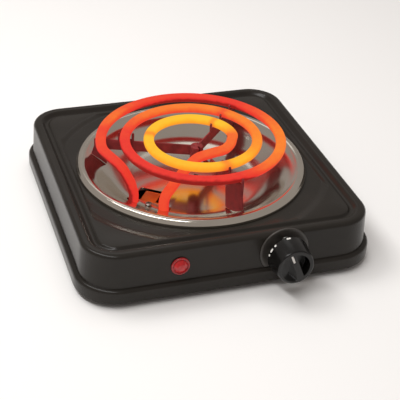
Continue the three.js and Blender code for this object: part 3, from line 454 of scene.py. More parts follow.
def screw(head, head_height, shank, length, place=Matrix.Identity(4)):
    """A pan-head screw with a cross recess and a rolled thread. It points up from the place."""
    pitch = 0.55
    depth = 0.18
    thread = []
    for k in range(int((length - pitch) / pitch)):
        foot = 0.4 * pitch + k * pitch
        thread += [(shank, foot), (shank - depth, foot + 0.5 * pitch)]
    piece = turn([
        *arc((0, 0), (head, head_height), -90, 0, 5), (shank, 0), *thread,
        (shank - depth, length), (0, length)], 24)
    recess = (1.25 * head * MM, 0.24 * head * MM, 1.1 * head_height * MM)
    for angle in (0, 90):
        bar = block(recess, (0, 0, -head_height * MM))
        close()
        bar.data.transform(Matrix.Rotation(math.radians(angle), 4, "Z"))
        cut_away(piece, [bar])
    piece.data.transform(place)
    return piece


upside_down = Matrix.Rotation(math.pi, 4, "X")
ring_face = 1.8 * MM
fixing_screw = screw(head=2.6, head_height=0.9, shank=1.35, length=5.9)
for name, side in (("upper", 1), ("lower", -1)):
    place = knob_place @ Matrix.Translation((0, side * fixing_rise, ring_face)) @ upside_down
    fit(copied(fixing_screw, place), f"cross_head_screw_{name}", "case", zinc,
        [f"thermostat_screw_{name}"])
bpy.data.objects.remove(fixing_screw)
stack_place = knob_place @ Matrix.Translation((15 * MM, 0, -17.8 * MM))
fit(screw(head=3.2, head_height=1.6, shank=1.6, length=16.7, place=stack_place),
    "stack_clamp_screw", "case", zinc, ["stack_screw"])

# Dial ring: a round plate moulded in black phenolic, between the wall and the knob. It is cut
# level below, where it stands over the case's flange.
ring_radius = 18.3
ring_bore = 5.25
ring_low = 0.3
ring_high = 1.5
ring_round = 0.5
ring_border = 2.2
ring_sink = 0.25
ring_inner = ring_radius - ring_border
ring = turn([
    (ring_bore, ring_low), (ring_radius, ring_low), (ring_radius, ring_high - 0.9 * ring_round),
    *arc((ring_radius - ring_round, ring_high - ring_round), ring_round, 10, 90, 5),
    (ring_inner, ring_high), (ring_inner - 2 * ring_sink, ring_high - ring_sink),
    (ring_bore, ring_high - ring_sink), (ring_bore, ring_low)], 96)


def reopen(piece):
    """Opens a piece for editing again, with all of it selected."""
    select_only(piece)
    bpy.ops.object.mode_set(mode="EDIT")
    bpy.ops.mesh.select_all(action="SELECT")


reopen(ring)
ring_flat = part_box("dial_ring")[0].z - knob_origin.z
bpy.ops.mesh.bisect(
    plane_co=(0, ring_flat, 0), plane_no=(0, 1, 0), clear_inner=True, use_fill=True)
close()
ring.data.transform(knob_place)

# Gloss phenolic, straight from a polished mould: near black, with a clean sharp gloss and a
# very faint waviness.
phenolic, shader = new_material("gloss_black_phenolic", IOR=1.6, Specular_IOR_Level=0.3)
flow = speckle(phenolic, 9 * MM)
vary(phenolic, shader, flow, Base_Color=("#0e0d0c", "#151413"), Roughness=(0.2, 0.3))
vary(phenolic, shader, speckle(phenolic, 2.5 * MM, 1.0), Normal=(0.04, 0.08 * MM))

# The dial ring comes from an etched mould, so its face is half-matt. Its base colour is painted a
# lighter grey than black phenolic, as a painted sheen.
etched_face_and_sheen, shader = new_material("satin_black_phenolic", IOR=1.6)
flow = speckle(etched_face_and_sheen, 6 * MM)
vary(etched_face_and_sheen, shader, flow, Base_Color=("#34302c", "#403b36"), Roughness=(0.4, 0.5))
vary(etched_face_and_sheen, shader, speckle(etched_face_and_sheen, 0.5 * MM, 1.0), Normal=(0.1, 0.03 * MM))
fit(ring, "moulded_dial_ring", "case", etched_face_and_sheen, ["dial_ring"])

# Pilot lamp: a red polycarbonate lens with a rim and a faceted dome, pushed through the wall
# and held by a nut. A small neon bulb in its barrel glows while the heater is on.
lens_bore = 3.35
lens_rim = 6.8
lens_barrel = 4.7
barrel_end = -9
barrel_chamfer = 0.3
rim_low = 0.3
rim_high = 1.6
rim_round = 0.65
moat_depth = 0.35
dome_radius = 5.2
dome_low = rim_high - 1.0
dome_rise = 2.6
dome_facets = 12
# Shares of the dome's radius and of its rise over the rim
dome_shares = ((0.84, 0.42), (0.5, 0.84), (0.2, 1), (0, 1))
lens = turn([
    (lens_bore, rim_low), (lens_bore, barrel_end), (lens_barrel - barrel_chamfer, barrel_end),
    (lens_barrel, barrel_end + barrel_chamfer), (lens_barrel, rim_low), (lens_rim - 0.2, rim_low),
    (lens_rim, rim_low + 0.25),
    *arc((lens_rim - rim_round, rim_high - rim_round), rim_round, 0, 90, 6),
    (dome_radius + 0.45, rim_high), (dome_radius + 0.2, rim_high - moat_depth),
    (dome_radius - 0.2, rim_high - moat_depth), (lens_bore, rim_high - 0.5),
    (lens_bore, rim_low)], 64)
facets = turn([
    (0, dome_low), (dome_radius, dome_low), (dome_radius, rim_high + 0.1),
    *[(share * dome_radius, rim_high + rise * dome_rise) for share, rise in dome_shares]],
    dome_facets)
facets.data.transform(Matrix.Rotation(math.pi / dome_facets, 4, "Z"))
for piece in (lens, facets):
    piece.data.transform(lamp_place)

# Tinted polycarbonate: clear red, polished, lit from behind by the neon glow.
lens_red, shader = new_material(
    "red_polycarbonate", IOR=1.58, Roughness=0.12, Emission_Strength=0.12)
tint = speckle(lens_red, 3 * MM)
vary(lens_red, shader, tint, Base_Color=("#900e11", "#ae181b"))
vary(lens_red, shader, tint, Emission_Color=("#b5121a", "#e02c2c"))
lens_rim_red, shader = new_material("red_polycarbonate_rim", IOR=1.58, Roughness=0.2)
tint = speckle(lens_rim_red, 3 * MM)
vary(lens_rim_red, shader, tint, Base_Color=("#8c1416", "#a82426"))
fit(facets, "lamp_facets", "case", lens_red, smooth=8)
fit(lens, "lamp_rim", "case", lens_rim_red, ["lamp_lens"])

# Clear soda glass, lit orange by the discharge inside it.
neon, shader = new_material(
    "neon_bulb_glass", IOR=1.5, Roughness=0.08, Transmission_Weight=0.6, Emission_Strength=1.5)
cloud = speckle(neon, 2 * MM)
vary(neon, shader, cloud, Emission_Color=("#ff5a1e", "#ff8a4a"))
vary(neon, shader, cloud, Base_Color=("#ffd0b0", "#ffe6d2"))
dress(neon, "neon_bulb")
dress(phenolic, "lamp_nut")

# Cross bar: a strip of zinc-plated steel, welded between the side walls under the pan. The screw
# in the pan's middle goes into it.
dress(zinc, "cross_bar")

# Drip pan: 0.5 mm stainless steel, spun to a bowl with a rolled rim and polished. It lies in
# the case's dish and catches what boils over. The heater's legs pass through two holes beside
# a window, where the flange that holds them shows its tongue.
pan_middle = middle_of("drip_pan")
pan_radius = 89.0
pan_lip = 42.5
pan_floor = 26.0
pan_inner = 10
pan_sheet = 0.5
rim_width = 8.5
rim_foot = 39.2
rim_crest = 1.7
# [share of the rim's width inwards, share of the rise from its foot to the lip]
rim_shares = ((0, 0), (0, 0.45), (0.1, 0.86))
# [share of the rim's width inwards, share of the crest over the lip]
crest_shares = ((0.26, 0.8), (0.48, 1), (0.74, 0.82))
# [share of the bowl's radius, share of its height over the floor]
bowl_shares = (
    (1, 1), (0.945, 0.85), (0.885, 0.64), (0.82, 0.4), (0.745, 0.18), (0.66, 0.05), (0.56, 0))
pan_segments = 144


def smooth_line(points, steps):
    """A smooth line through points, with a number of steps between each two of them."""
    points = [Vector(point) for point in points]
    ends = [2 * points[0] - points[1], *points, 2 * points[-1] - points[-2]]
    made = []
    for a, b, c, d in zip(ends, ends[1:], ends[2:], ends[3:]):
        for k in range(steps):
            t = k / steps
            made.append(0.5 * (
                2 * b + (c - a) * t + (2 * a - 5 * b + 4 * c - d) * t ** 2
                + (3 * b - a - 3 * c + d) * t ** 3))
    return [*made, points[-1]]


def span(edge, axis):
    """How far an edge runs along an axis: 0, 1 or 2 for x, y or z."""
    return abs(edge.verts[0].co[axis] - edge.verts[1].co[axis])


bowl_radius = pan_radius - rim_width
pan_points = [
    *[(pan_radius - run * rim_width, rim_foot + rise * (pan_lip - rim_foot))
      for run, rise in rim_shares],
    *[(pan_radius - run * rim_width, pan_lip + rise * rim_crest) for run, rise in crest_shares],
    *[(share * bowl_radius, pan_floor + rise * (pan_lip - pan_floor))
      for share, rise in bowl_shares]]
pan_line = [(min(p.x, pan_radius), max(p.y, pan_floor)) for p in smooth_line(pan_points, 4)]
pan = turn(
    [*pan_line, (0.5 * pan_line[-1][0], pan_floor), (pan_inner, pan_floor), (0, pan_floor)],
    pan_segments, above(pan_middle), sheet=pan_sheet)

outer_leg = middle_of("element_seal_outer").xy
inner_leg = middle_of("element_seal_inner").xy
leg_line = outer_leg - inner_leg
leg_middle = (outer_leg + inner_leg) / 2
leg_place = above(leg_middle) @ Matrix.Rotation(math.atan2(leg_line.y, leg_line.x), 4, "Z")
leg_hole = 4.7 * MM
window_size = Vector((22, 18, 30)) * MM
window_place = Vector((3, -13, 30)) * MM
window_round = 1.2 * MM
screw_middle = middle_of("pan_screw")
pan_screw_hole = 2.25 * MM
cut_reach = 12 * MM
window = block(window_size, window_place)
pick(window, "edges", lambda edge: span(edge, 2) > 0.9 * window_size.z)
bpy.ops.mesh.bevel(offset=window_round, segments=4, affect="EDGES")
close()
window.data.transform(leg_place)
pan_holes = (
    (outer_leg, leg_hole), (inner_leg, leg_hole), (leg_middle, screw_hole),
    (screw_middle, pan_screw_hole))
cut_away(pan, [
    *[hole_cutter(radius, above(spot, pan_floor * MM), cut_reach) for spot, radius in pan_holes],
    window])

# Polished stainless steel: a clear mirror, a little warm, with faint rings left by the spinning.
# Real rings are some tenths of a millimetre apart. They are drawn much coarser to show, about
# 9 mm apart.
steel, shader = new_material("polished_stainless_steel", Metallic=1.0)
ring_spacing = math.tau * 1.4 * MM
waves_per_unit = 20 / math.tau  # as the wave node draws them at a scale of 1
place = add_node(steel, "ShaderNodeTexCoord").outputs["Object"]
centred = add_node(
    steel, "ShaderNodeVectorMath", {0: place, 1: tuple(pan_middle)}, operation="SUBTRACT")
rings = add_node(steel, "ShaderNodeTexWave", {
    "Vector": centred.outputs["Vector"], "Scale": 1 / (waves_per_unit * ring_spacing),
    "Distortion": 1.5, "Detail": 2.0, "Detail Scale": 1.0},
    wave_type="RINGS", rings_direction="Z")
cloud = speckle(steel, 35 * MM)
vary(steel, shader, cloud, Base_Color=("#d9d1c5", "#e4dcd0"), Roughness=(0.1, 0.17))
vary(steel, shader, rings.outputs["Fac"], Normal=(0.03, 0.03 * MM))
fit(pan, "spun_drip_pan", "case", steel, ["drip_pan"], smooth=40)

# One screw through the middle of the pan pulls it onto the cross bar.
pan_screw_seat = (pan_floor + 0.3) * MM
pan_screw_length = (pan_screw_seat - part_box("pan_screw")[0].z) / MM
fit(screw(head=4, head_height=2.2, shank=1.9, length=pan_screw_length,
          place=above(screw_middle, pan_screw_seat) @ upside_down),
    "pan_fixing_screw", "case", zinc, ["pan_screw"])

# Support arms: three blades of steel sheet, 1.2 mm thick, with prongs at the turns that they hold
# and a foot at the outer end that stands on the bowl's side. A small slotted boss joins them.
# Heat has turned them dark red and brown.


def refined(node, width):
    """A copy of a CAD node with its flat faces whole and its edges rounded by a width."""
    piece = copied(nodes[node])
    reopen(piece)
    bpy.ops.mesh.remove_doubles(threshold=0.002 * MM)
    bpy.ops.mesh.dissolve_limited(angle_limit=math.radians(1))
    close()
    apply_modifier(
        piece, "BEVEL", width=width, segments=2, limit_method="ANGLE",
        angle_limit=math.radians(25))
    return piece


# Oxidised steel: dull and dark red-brown where the heater has scaled it, with scale flecks
# about 1.5 mm across.
scaled_steel, shader = new_material("heat_scaled_steel", Metallic=0.2, IOR=1.6)
scale = speckle(scaled_steel, 6 * MM, 4.0)
vary(scaled_steel, shader, scale, Base_Color=("#741e22", "#983032"), Roughness=(0.5, 0.75))
vary(scaled_steel, shader, speckle(scaled_steel, 1.5 * MM, 3.0), Normal=(0.25, 0.1 * MM))

for side in ("left", "back", "front"):
    fit(refined(f"support_arm_{side}", width=0.18 * MM), f"notched_arm_{side}", "case",
        scaled_steel, [f"support_arm_{side}"], smooth=20)


def peg(radius, low, high, chamfer, fillet, segments, place=Matrix.Identity(4)):
    """A round peg, sized in millimetres, with a chamfered foot and a rounded top."""
    return turn([
        (0, low), (radius - chamfer, low), (radius, low + chamfer),
        *arc((radius - fillet, high - fillet), fillet, 0, 90, 5), (0, high)],
        segments, place)


hub_low, hub_high = [corner.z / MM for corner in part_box("support_hub")]
hub_radius = 5.0
hub_place = above(screw_middle)
hub_slot = (10 * MM, 1.8 * MM, 20 * MM)
slot_in = 1.9 * MM
slot_floor = 46.3 * MM
slot_middle = (slot_in + hub_slot[0] / 2, 0, slot_floor + hub_slot[2] / 2)
slot_angles = (159, 47, -78)
hub = peg(hub_radius, hub_low, hub_high, chamfer=0.4, fillet=0.8, segments=64, place=hub_place)
for angle in slot_angles:
    slot = block(hub_slot, slot_middle)
    close()
    slot.data.transform(hub_place @ Matrix.Rotation(math.radians(angle), 4, "Z"))
    cut_away(hub, [slot])
fit(hub, "slotted_hub", "case", scaled_steel, ["support_hub"])

# Heater: one steel tube with a wire packed in magnesia down its middle, 8 mm across, pressed
# flat on top and wound to a flat spiral. Both ends are bent down through the pan. It glows
# yellow in the inner turn and red in the outer one, duller where the arms draw its heat.
coil_centre = screw_middle.xy / MM
coil_radius = 74.2
coil_inner = 28.6
coil_height = 60.1
coil_start = -185
coil_turns = 2 + 177 / 360
spiral_steps = 60
outer_leg_angle = -158.3
outer_leg_share = 0.818
leg_end = 21.0
leg_rise = 0.22
tube_half = (4.0, 3.2)
tube_spacing = 1.5
# The outline in shares of these half sizes: a flat top, two shoulders and a half round below
tube_flat = 0.58
tube_waist = 0.35
tube_shoulder = (0.42, 0.65)
# [share of the turn to the leg, of the radius to the leg, of the height over the pan's floor]
outer_drop = (
    (0.26, 0.04, 1), (0.5, 0.17, 0.99), (0.71, 0.31, 0.95), (0.85, 0.49, 0.84),
    (0.94, 0.67, 0.65), (0.975, 0.84, 0.48), (0.99, 0.93, 0.33))
# [x and y as shares of the inner radius, share of the height], round the hub and under the turns
curl = (
    (0.925, -0.19, 0.99), (0.84, -0.33, 0.94), (0.64, -0.44, 0.872), (0.35, -0.47, 0.843),
    (0.07, -0.5, 0.814), (-0.154, -0.55, 0.788))
# [share of the way to the inner leg in x and in y, share of the height]
tail = ((0.53, 0.72, 0.67), (0.842, 0.94, 0.468), (0.95, 0.985, 0.36))
# [turns from the outer end, heat from red to yellow]
turn_heat = (
    (-0.3, 0.06), (-0.05, 0.14), (0.03, 0.24), (0.1, 0.4), (0.17, 0.2), (0.24, 0.1),
    (0.36, 0.1), (0.45, 0.38), (0.5, 0.5), (0.58, 0.5), (0.65, 0.36), (0.7, 0.1),
    (0.76, 0.03), (1.0, 0.06), (1.08, 0.28), (1.16, 0.46), (1.5, 0.52), (1.58, 0.62),
    (1.64, 0.85), (2.4, 0.97), (2.45, 0.75), (2.5, 0.4), (2.75, 0.28), (3.2, 0.1))
# An arm cools each turn near it. The tube's sides and underside are dimmed: painted shade
arm_turns = (0.044, 0.356, 0.703)
chill_width = 0.014
chill_share = 0.35
painted_shade_below = 0.2


def polar(radius, degrees, height):
    way = math.radians(degrees)
    return Vector((radius * math.cos(way), radius * math.sin(way), height))


def over_floor(share):
    return pan_floor + share * (coil_height - pan_floor)


def smooth_path(points, spacing):
    """A smooth curve through points, as even steps of [place along the points, point]."""
    beads = 24
    ends = [2 * points[0] - points[1], *points, 2 * points[-1] - points[-2]]
    fine = []
    for i, (a, b, c, d) in enumerate(zip(ends, ends[1:], ends[2:], ends[3:])):
        before, here, after = [(q - p).length ** 0.5 for p, q in ((a, b), (b, c), (c, d))]
        leaving = here * ((b - a) / before - (c - a) / (before + here)) + c - b
        reaching = here * ((d - c) / after - (d - b) / (here + after)) + c - b
        curve = interpolate_bezier(b, b + leaving / 3, c - reaching / 3, c, beads + 1)
        fine += [(i + k / beads, point) for k, point in enumerate(curve[:-1])]
    fine.append((len(points) - 1, points[-1]))
    lengths = [0]
    for (_, p), (_, q) in zip(fine, fine[1:]):
        lengths.append(lengths[-1] + (q - p).length)
    count = math.ceil(lengths[-1] / spacing)
    made = []
    k = 0
    for step in range(count + 1):
        reach = lengths[-1] * step / count
        while k < len(fine) - 2 and lengths[k + 1] < reach:
            k += 1
        share = (reach - lengths[k]) / (lengths[k + 1] - lengths[k])
        (place, p), (next_place, q) = fine[k], fine[k + 1]
        made.append((place + share * (next_place - place), p.lerp(q, share)))
    return made


def in_table(table, value):
    """The second column of a table, between its rows, for a value in the first one."""
    for (a, low), (b, high) in zip(table, table[1:]):
        if value <= b:
            return low + (high - low) * max(0, (value - a) / (b - a))
    return table[-1][1]


spiral = [
    polar(coil_radius + (coil_inner - coil_radius) * k / spiral_steps,
          coil_start - 360 * coil_turns * k / spiral_steps, coil_height)
    for k in range(spiral_steps + 1)]
leg_heights = (over_floor(leg_rise), pan_floor, leg_end)
outer_down = (outer_leg / MM - coil_centre).to_3d()
inner_down = (inner_leg / MM - coil_centre).to_3d()
outer_end = [
    *[polar(coil_radius + way * (outer_leg_share - 1) * coil_radius,
            coil_start + turn_share * (outer_leg_angle - coil_start), over_floor(rise))
      for turn_share, way, rise in outer_drop],
    *[outer_down + Vector((0, 0, height)) for height in leg_heights]]
inner_end = [
    *[Vector((x * coil_inner, y * coil_inner, over_floor(rise))) for x, y, rise in curl],
    *[Vector((x * inner_down.x, y * inner_down.y, over_floor(rise))) for x, y, rise in tail],
    *[inner_down + Vector((0, 0, height)) for height in leg_heights]]
tube_path = smooth_path([*reversed(outer_end), *spiral, *inner_end], tube_spacing)
tube_turns = [(place - len(outer_end)) * coil_turns / spiral_steps for place, _ in tube_path]
tube_line = [Vector((p.x, p.y, min(p.z, coil_height))) for _, p in tube_path]
tangents = [
    (tube_line[min(i + 1, len(tube_line) - 1)] - tube_line[max(i - 1, 0)]).normalized()
    for i in range(len(tube_line))]

# The flat of the tube looks up half way along it, and its direction is carried to both ends.
middle = len(tube_line) // 2
ups = {middle: Vector((0, 0, 1))}
for i in [*range(middle + 1, len(tube_line)), *range(middle - 1, -1, -1)]:
    up = ups[i - 1] if i - 1 in ups else ups[i + 1]
    ups[i] = (up - up.dot(tangents[i]) * tangents[i]).normalized()
tube_section = [
    *arc((tube_flat, tube_waist), tube_shoulder, 0, 90, 5),
    *arc((-tube_flat, tube_waist), tube_shoulder, 90, 180, 5),
    *arc((0, tube_waist), (1, 1 + tube_waist), 180, 360, 14)[1:-1]]
tube = begin(
    bpy.ops.mesh.primitive_grid_add, size=1, x_subdivisions=len(tube_section),
    y_subdivisions=len(tube_line) - 1)
close()
heat_and_shade_layer = tube.data.attributes.new("tube_heat", "FLOAT", "POINT")
for point in tube.data.vertices:
    row, column = divmod(point.index, len(tube_section) + 1)
    across, rise = tube_section[column % len(tube_section)]
    side = tangents[row].cross(ups[row])
    point.co = MM * (
        tube_line[row] + across * tube_half[0] * side + rise * tube_half[1] * ups[row]
        + coil_centre.to_3d())
    heat = in_table(turn_heat, tube_turns[row])
    if 0 < tube_turns[row] < coil_turns:
        nearest = min(abs(tube_turns[row] % 1 - turn) for turn in arm_turns)
        heat *= 1 - chill_share * math.exp(-(nearest / chill_width) ** 2)
    # The glow is dimmed towards the underside of the tube, as painted shade
    heat_and_shade_layer.data[point.index].value = heat - painted_shade_below * (1 - rise)
reopen(tube)
bpy.ops.mesh.remove_doubles(threshold=0.01 * MM)
pick(tube, "edges", lambda edge: edge.is_boundary)
bpy.ops.mesh.edge_face_add()
face_out()
close()

# Oxidised heater sheath at about 900 degrees: a dull dark nickel steel that gives off far more
# light than it reflects. The scale on it varies the glow a little every few millimetres, and the
# glow is dimmer on the tube's underside, as painted shade.
glow, shader = new_material(
    "glowing_nickel_steel_sheath", IOR=1.5, Roughness=0.7, Specular_IOR_Level=0.2,
    Emission_Strength=1.0)
# The heat read here already holds the painted shade on the tube's underside
heat = add_node(glow, "ShaderNodeAttribute", attribute_name="tube_heat").outputs["Fac"]
mottle_share = 0.16
mottle = add_node(
    glow, "ShaderNodeMath", {0: speckle(glow, 5 * MM), 1: mottle_share}, operation="MULTIPLY")
warmth_and_shade = add_node(
    glow, "ShaderNodeMath", {0: heat, 1: mottle.outputs["Value"]}, operation="ADD")
colours = add_node(glow, "ShaderNodeValToRGB", {"Fac": warmth_and_shade.outputs["Value"]})
ramp = colours.color_ramp
ramp.elements[0].color = linear("#8e1714")
ramp.elements[1].position = 1.0
ramp.elements[1].color = linear("#ffc22c")
for place, colour in ((0.1, "#e5302a"), (0.32, "#ee4a2b"), (0.58, "#f7812b"), (0.8, "#fca326")):
    ramp.elements.new(place).color = linear(colour)
glow.node_tree.links.new(colours.outputs["Color"], shader.inputs["Emission Color"])
vary(glow, shader, speckle(glow, 2 * MM), Base_Color=("#2a0e0b", "#3c1711"))
vary(glow, shader, speckle(glow, 1.5 * MM), Normal=(0.1, 0.1 * MM))
fit(tube, "glowing_spiral_tube", "case", glow, ["heating_element"], smooth=60)

# Element flange: a steel plate that holds both legs under the pan. A screw through the pan holds
# it by its tongue, which shows in the pan's window. Heat has coloured the bare steel straw to
# copper, and its bright orange is partly a painted reflection of the glowing coil.
tint_and_glow_reflection, shader = new_material("heat_tinted_steel", Metallic=0.9)
tinge_and_reflection = speckle(tint_and_glow_reflection, 9 * MM)
# Bright orange: real heat tint, and partly a painted reflection of the coil's glow
vary(tint_and_glow_reflection, shader, tinge_and_reflection, Base_Color=("#e0682a", "#f08a3c"), Roughness=(0.35, 0.5))
fit(refined("element_flange", width=0.12 * MM), "leg_flange", "case", tint_and_glow_reflection,
    ["element_flange"])
screw_low, screw_high = [corner.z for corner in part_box("flange_screw")]
flange_head = 1.1
flange_seat = screw_high - flange_head * MM
fit(screw(head=2.7, head_height=flange_head, shank=1.35, length=(flange_seat - screw_low) / MM,
          place=above(leg_middle, flange_seat) @ upside_down),
    "flange_fixing_screw", "case", zinc, ["flange_screw"])

# Terminal block: pressed steatite, in which each cold pin is clamped by a brass screw. A turned
# steatite bead closes the end of each leg round its pin.
fit(refined("terminal_block", width=0.4 * MM), "pressed_terminal_block", "case", steatite,
    ["terminal_block"])
bead_low, bead_high = [corner.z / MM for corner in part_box("element_seal_outer")]
bead_radius = 3.4
bead = peg(bead_radius, bead_low, bead_high, chamfer=0.5, fillet=0.9, segments=36)
clamp_screw = screw(head=2.9, head_height=1.8, shank=1.7, length=6.6)
clamp_seat = -8.3 * MM
for side in ("outer", "inner"):
    fit(copied(bead, above(middle_of(f"element_seal_{side}"))), f"end_bead_{side}", "case",
        steatite, [f"element_seal_{side}"])
    in_block = leg_place.inverted() @ middle_of(f"terminal_screw_{side}")
    clamp_place = leg_place @ Matrix.Translation(
        (in_block.x, clamp_seat, in_block.z)) @ Matrix.Rotation(-math.pi / 2, 4, "X")
    fit(copied(clamp_screw, clamp_place), f"clamp_screw_{side}", "case", brass,
        [f"terminal_screw_{side}"])
bpy.data.objects.remove(bead)
bpy.data.objects.remove(clamp_screw)
dress(zinc, "element_pin_outer", "element_pin_inner")

# Internal leads: stranded wire in a varnished glass-fibre sleeve. Its real braid is finer than
# half a millimetre. It is drawn much coarser to show, in bands about 5 mm wide.
sleeve, shader = new_material("varnished_glass_sleeve", IOR=1.5)
band_spacing = math.tau * 0.8 * MM
place = add_node(sleeve, "ShaderNodeTexCoord").outputs["Object"]
weave = [
    add_node(sleeve, "ShaderNodeTexWave",
             {"Vector": place, "Scale": 1 / (waves_per_unit * band_spacing)},
             bands_direction=way).outputs["Fac"] for way in ("X", "DIAGONAL")]
braid = add_node(
    sleeve, "ShaderNodeMath", {0: weave[0], 1: weave[1]}, operation="MULTIPLY").outputs["Value"]
vary(sleeve, shader, braid, Base_Color=("#b9a884", "#e6dcc2"), Roughness=(0.5, 0.7),
     Normal=(0.3, 0.1 * MM))
dress(sleeve, "lead_load", "lamp_lead_a", "lamp_lead_b")

# Cord inlet: a bush of soft rubber pressed into the back wall, grooved to grip the sheet's edge.
# The cord passes through its bore. Rubber is matt, with a faint grain from the mould.
rubber, shader = new_material("moulded_black_rubber", IOR=1.52, Specular_IOR_Level=0.3)
grain = speckle(rubber, 1.2 * MM, 4.0)
vary(rubber, shader, grain, Base_Color=("#171615", "#232120"), Roughness=(0.7, 0.85),
     Normal=(0.2, 0.05 * MM))
inlet_bore = 3.7
inlet_waist = 5.2
inlet_flange = 8.2
inlet_back = -4.1
inlet_in = -1.1
inlet_out = 0.3
inlet_nose = 4.9
bush_in = 0.3
bush_up = 0.4
bush_fillet = 0.8
nose_round = 1.0
bore_round = 0.6
bush = turn([
    (inlet_bore + bush_up, inlet_back), (inlet_flange - bush_in - bush_up, inlet_back),
    (inlet_flange - bush_in, inlet_back + bush_up), (inlet_flange, inlet_in - bush_up),
    (inlet_flange - bush_in, inlet_in), (inlet_waist, inlet_in), (inlet_waist, inlet_out),
    (inlet_flange - bush_in, inlet_out), (inlet_flange, inlet_out + bush_in),
    *arc((inlet_flange - bush_fillet, inlet_out + bush_in + 0.6), bush_fillet, 0, 60, 4),
    *arc((inlet_waist - 0.2, inlet_nose - nose_round), nose_round, 35, 90, 4),
    *arc((inlet_bore + bore_round, inlet_nose - bore_round), bore_round, 90, 180, 4),
    (inlet_bore, inlet_back + bush_up), (inlet_bore + bush_up, inlet_back)], 64, inlet_place)
fit(bush, "cord_inlet_bush", "case", rubber, ["cord_inlet"])

# Base plate: 0.8 mm zinc-plated sheet. Two rows of six vent slots are blanked in its back half, to
# let cool air in. Four screws hold it to the tabs in the case.
fit(refined("base_plate", width=0.15 * MM), "vented_base_plate", "case", zinc,
    ["base_plate"])
plate_seat = 4.7 * MM
base_screw_length = (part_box("base_screw_front_left")[1].z - plate_seat) / MM
base_screw = screw(head=2.7, head_height=1.1, shank=1.35, length=base_screw_length)
for corner in corners:
    fit(copied(base_screw, above(middle_of(f"base_screw_{corner}"), plate_seat)),
        f"base_fixing_screw_{corner}", "case", zinc, [f"base_screw_{corner}"])
bpy.data.objects.remove(base_screw)

# Feet: rubber buttons, each pushed through a hole in the base plate until its bulb snaps in.
# They are moulded in the same rubber as the cord inlet, with a shallow hollow below.
foot_radius = 8.0
foot_top = 4.7
foot_hollow = 3
foot_edge = 0.4
foot_sink = 0.5
foot_round = 1.4
stem_radius = 2.6
bulb_radius = 3.9
bulb_low = 6.1
bulb_high = 8.5
bulb_edge = 0.3
bulb_round = 0.6
foot = turn([
    (0, foot_sink), (foot_hollow, foot_sink), (foot_hollow + foot_edge, 0),
    (foot_radius - foot_round, 0),
    *arc((foot_radius - foot_round, foot_round), foot_round, -75, 0, 5),
    (foot_radius, foot_top - foot_edge), (foot_radius - foot_edge, foot_top),
    (stem_radius, foot_top), (stem_radius, bulb_low), (bulb_radius - bulb_edge, bulb_low),
    (bulb_radius, bulb_low + bulb_edge),
    *arc((stem_radius - 0.8, bulb_high - bulb_round), bulb_round, 30, 90, 3),
    (0, bulb_high)], 48)
for corner in corners:
    fit(copied(foot, above(middle_of(f"foot_{corner}"))), f"rubber_foot_{corner}", "case", rubber,
        [f"foot_{corner}"])
bpy.data.objects.remove(foot)

# Earth terminal: a brass tag for the cord's earth wire, held down on the base plate by a brass
# screw.
fit(refined("earth_tag", width=0.12 * MM), "earth_solder_tag", "case", brass,
    ["earth_tag"])
screw_low, screw_high = [corner.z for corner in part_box("earth_screw")]
earth_head = 2
earth_seat = screw_high - earth_head * MM
fit(screw(head=3.3, head_height=earth_head, shank=1.9, length=(earth_seat - screw_low) / MM,
          place=above(middle_of("earth_screw"), earth_seat) @ upside_down),
    "earth_clamp_screw", "case", brass, ["earth_screw"])

# Knob: one moulding of gloss black phenolic, a slightly tapered cap with a grip bar left between
# two half-moon pockets. A boss inside it is pushed onto the flat of the spindle. White filler
# marks its setting on the bar and the heat settings round its side.
knob_rest = knob_place @ Matrix.Rotation(math.radians(22), 4, "Z")
knob_radius = 15.4
knob_face = 13.4
knob_low = 4.55
knob_back = 7.45
knob_high = 23.55
knob_round = 1.2
knob_edge = 0.8
rim_wall = 2.0
pocket_radius = knob_face - knob_round - rim_wall
pocket_floor = 15.05
pocket_corner = 1.4 * MM
pocket_fillet = 0.7 * MM
web_low = 13.05
hollow_end = 12.65
grip_width = 5.6
boss_radius = 5.4
bore_radius = 3.35
bore_end = 14.55
bore_flat = 2.5
cap_edge = 0.3 * MM
past = 3.0
cap = turn([
    (0, knob_low), (boss_radius, knob_low), (boss_radius, web_low), (hollow_end, web_low),
    (knob_radius - rim_wall, knob_back), (knob_radius - knob_edge, knob_back),
    (knob_radius, knob_back + knob_edge),
    *arc((knob_face - knob_round, knob_high - knob_round), knob_round, 6, 90, 8),
    (0, knob_high)], 128)
bore = turn([
    (0, knob_low - past), (bore_radius, knob_low - past), (bore_radius, bore_end),
    (0, bore_end)], 48)
reopen(bore)
bpy.ops.mesh.bisect(
    plane_co=(0, bore_flat * MM, 0), plane_no=(0, 1, 0), clear_outer=True, use_fill=True)
close()
pockets = []
for side in (1, -1):
    pocket = begin(
        bpy.ops.mesh.primitive_circle_add, (0, 0, pocket_floor * MM), vertices=96,
        radius=pocket_radius * MM, fill_type="NGON")
    bpy.ops.mesh.bisect(
        plane_co=(side * grip_width / 2 * MM, 0, 0), plane_no=(side, 0, 0), clear_inner=True)
    bpy.ops.mesh.select_all(action="SELECT")
    bpy.ops.mesh.extrude_region_move(
        TRANSFORM_OT_translate={"value": (0, 0, (knob_high - pocket_floor + past) * MM)})
    face_out()
    pick(pocket, "edges", lambda edge: span(edge, 2) > MM and edge.calc_face_angle(0) > 0.5)
    bpy.ops.mesh.bevel(offset=pocket_corner, segments=5, affect="EDGES")
    pick(pocket, "edges", lambda edge: (
        max(vert.co.z for vert in edge.verts) < (pocket_floor + 0.01) * MM
        and edge.calc_face_angle(0) > 0.5))
    bpy.ops.mesh.bevel(offset=pocket_fillet, segments=4, affect="EDGES")
    close()
    pockets.append(pocket)
pointer_middle = 7.2
pointer_size = (2.1 * MM, 6.6 * MM, 2.1 * MM)
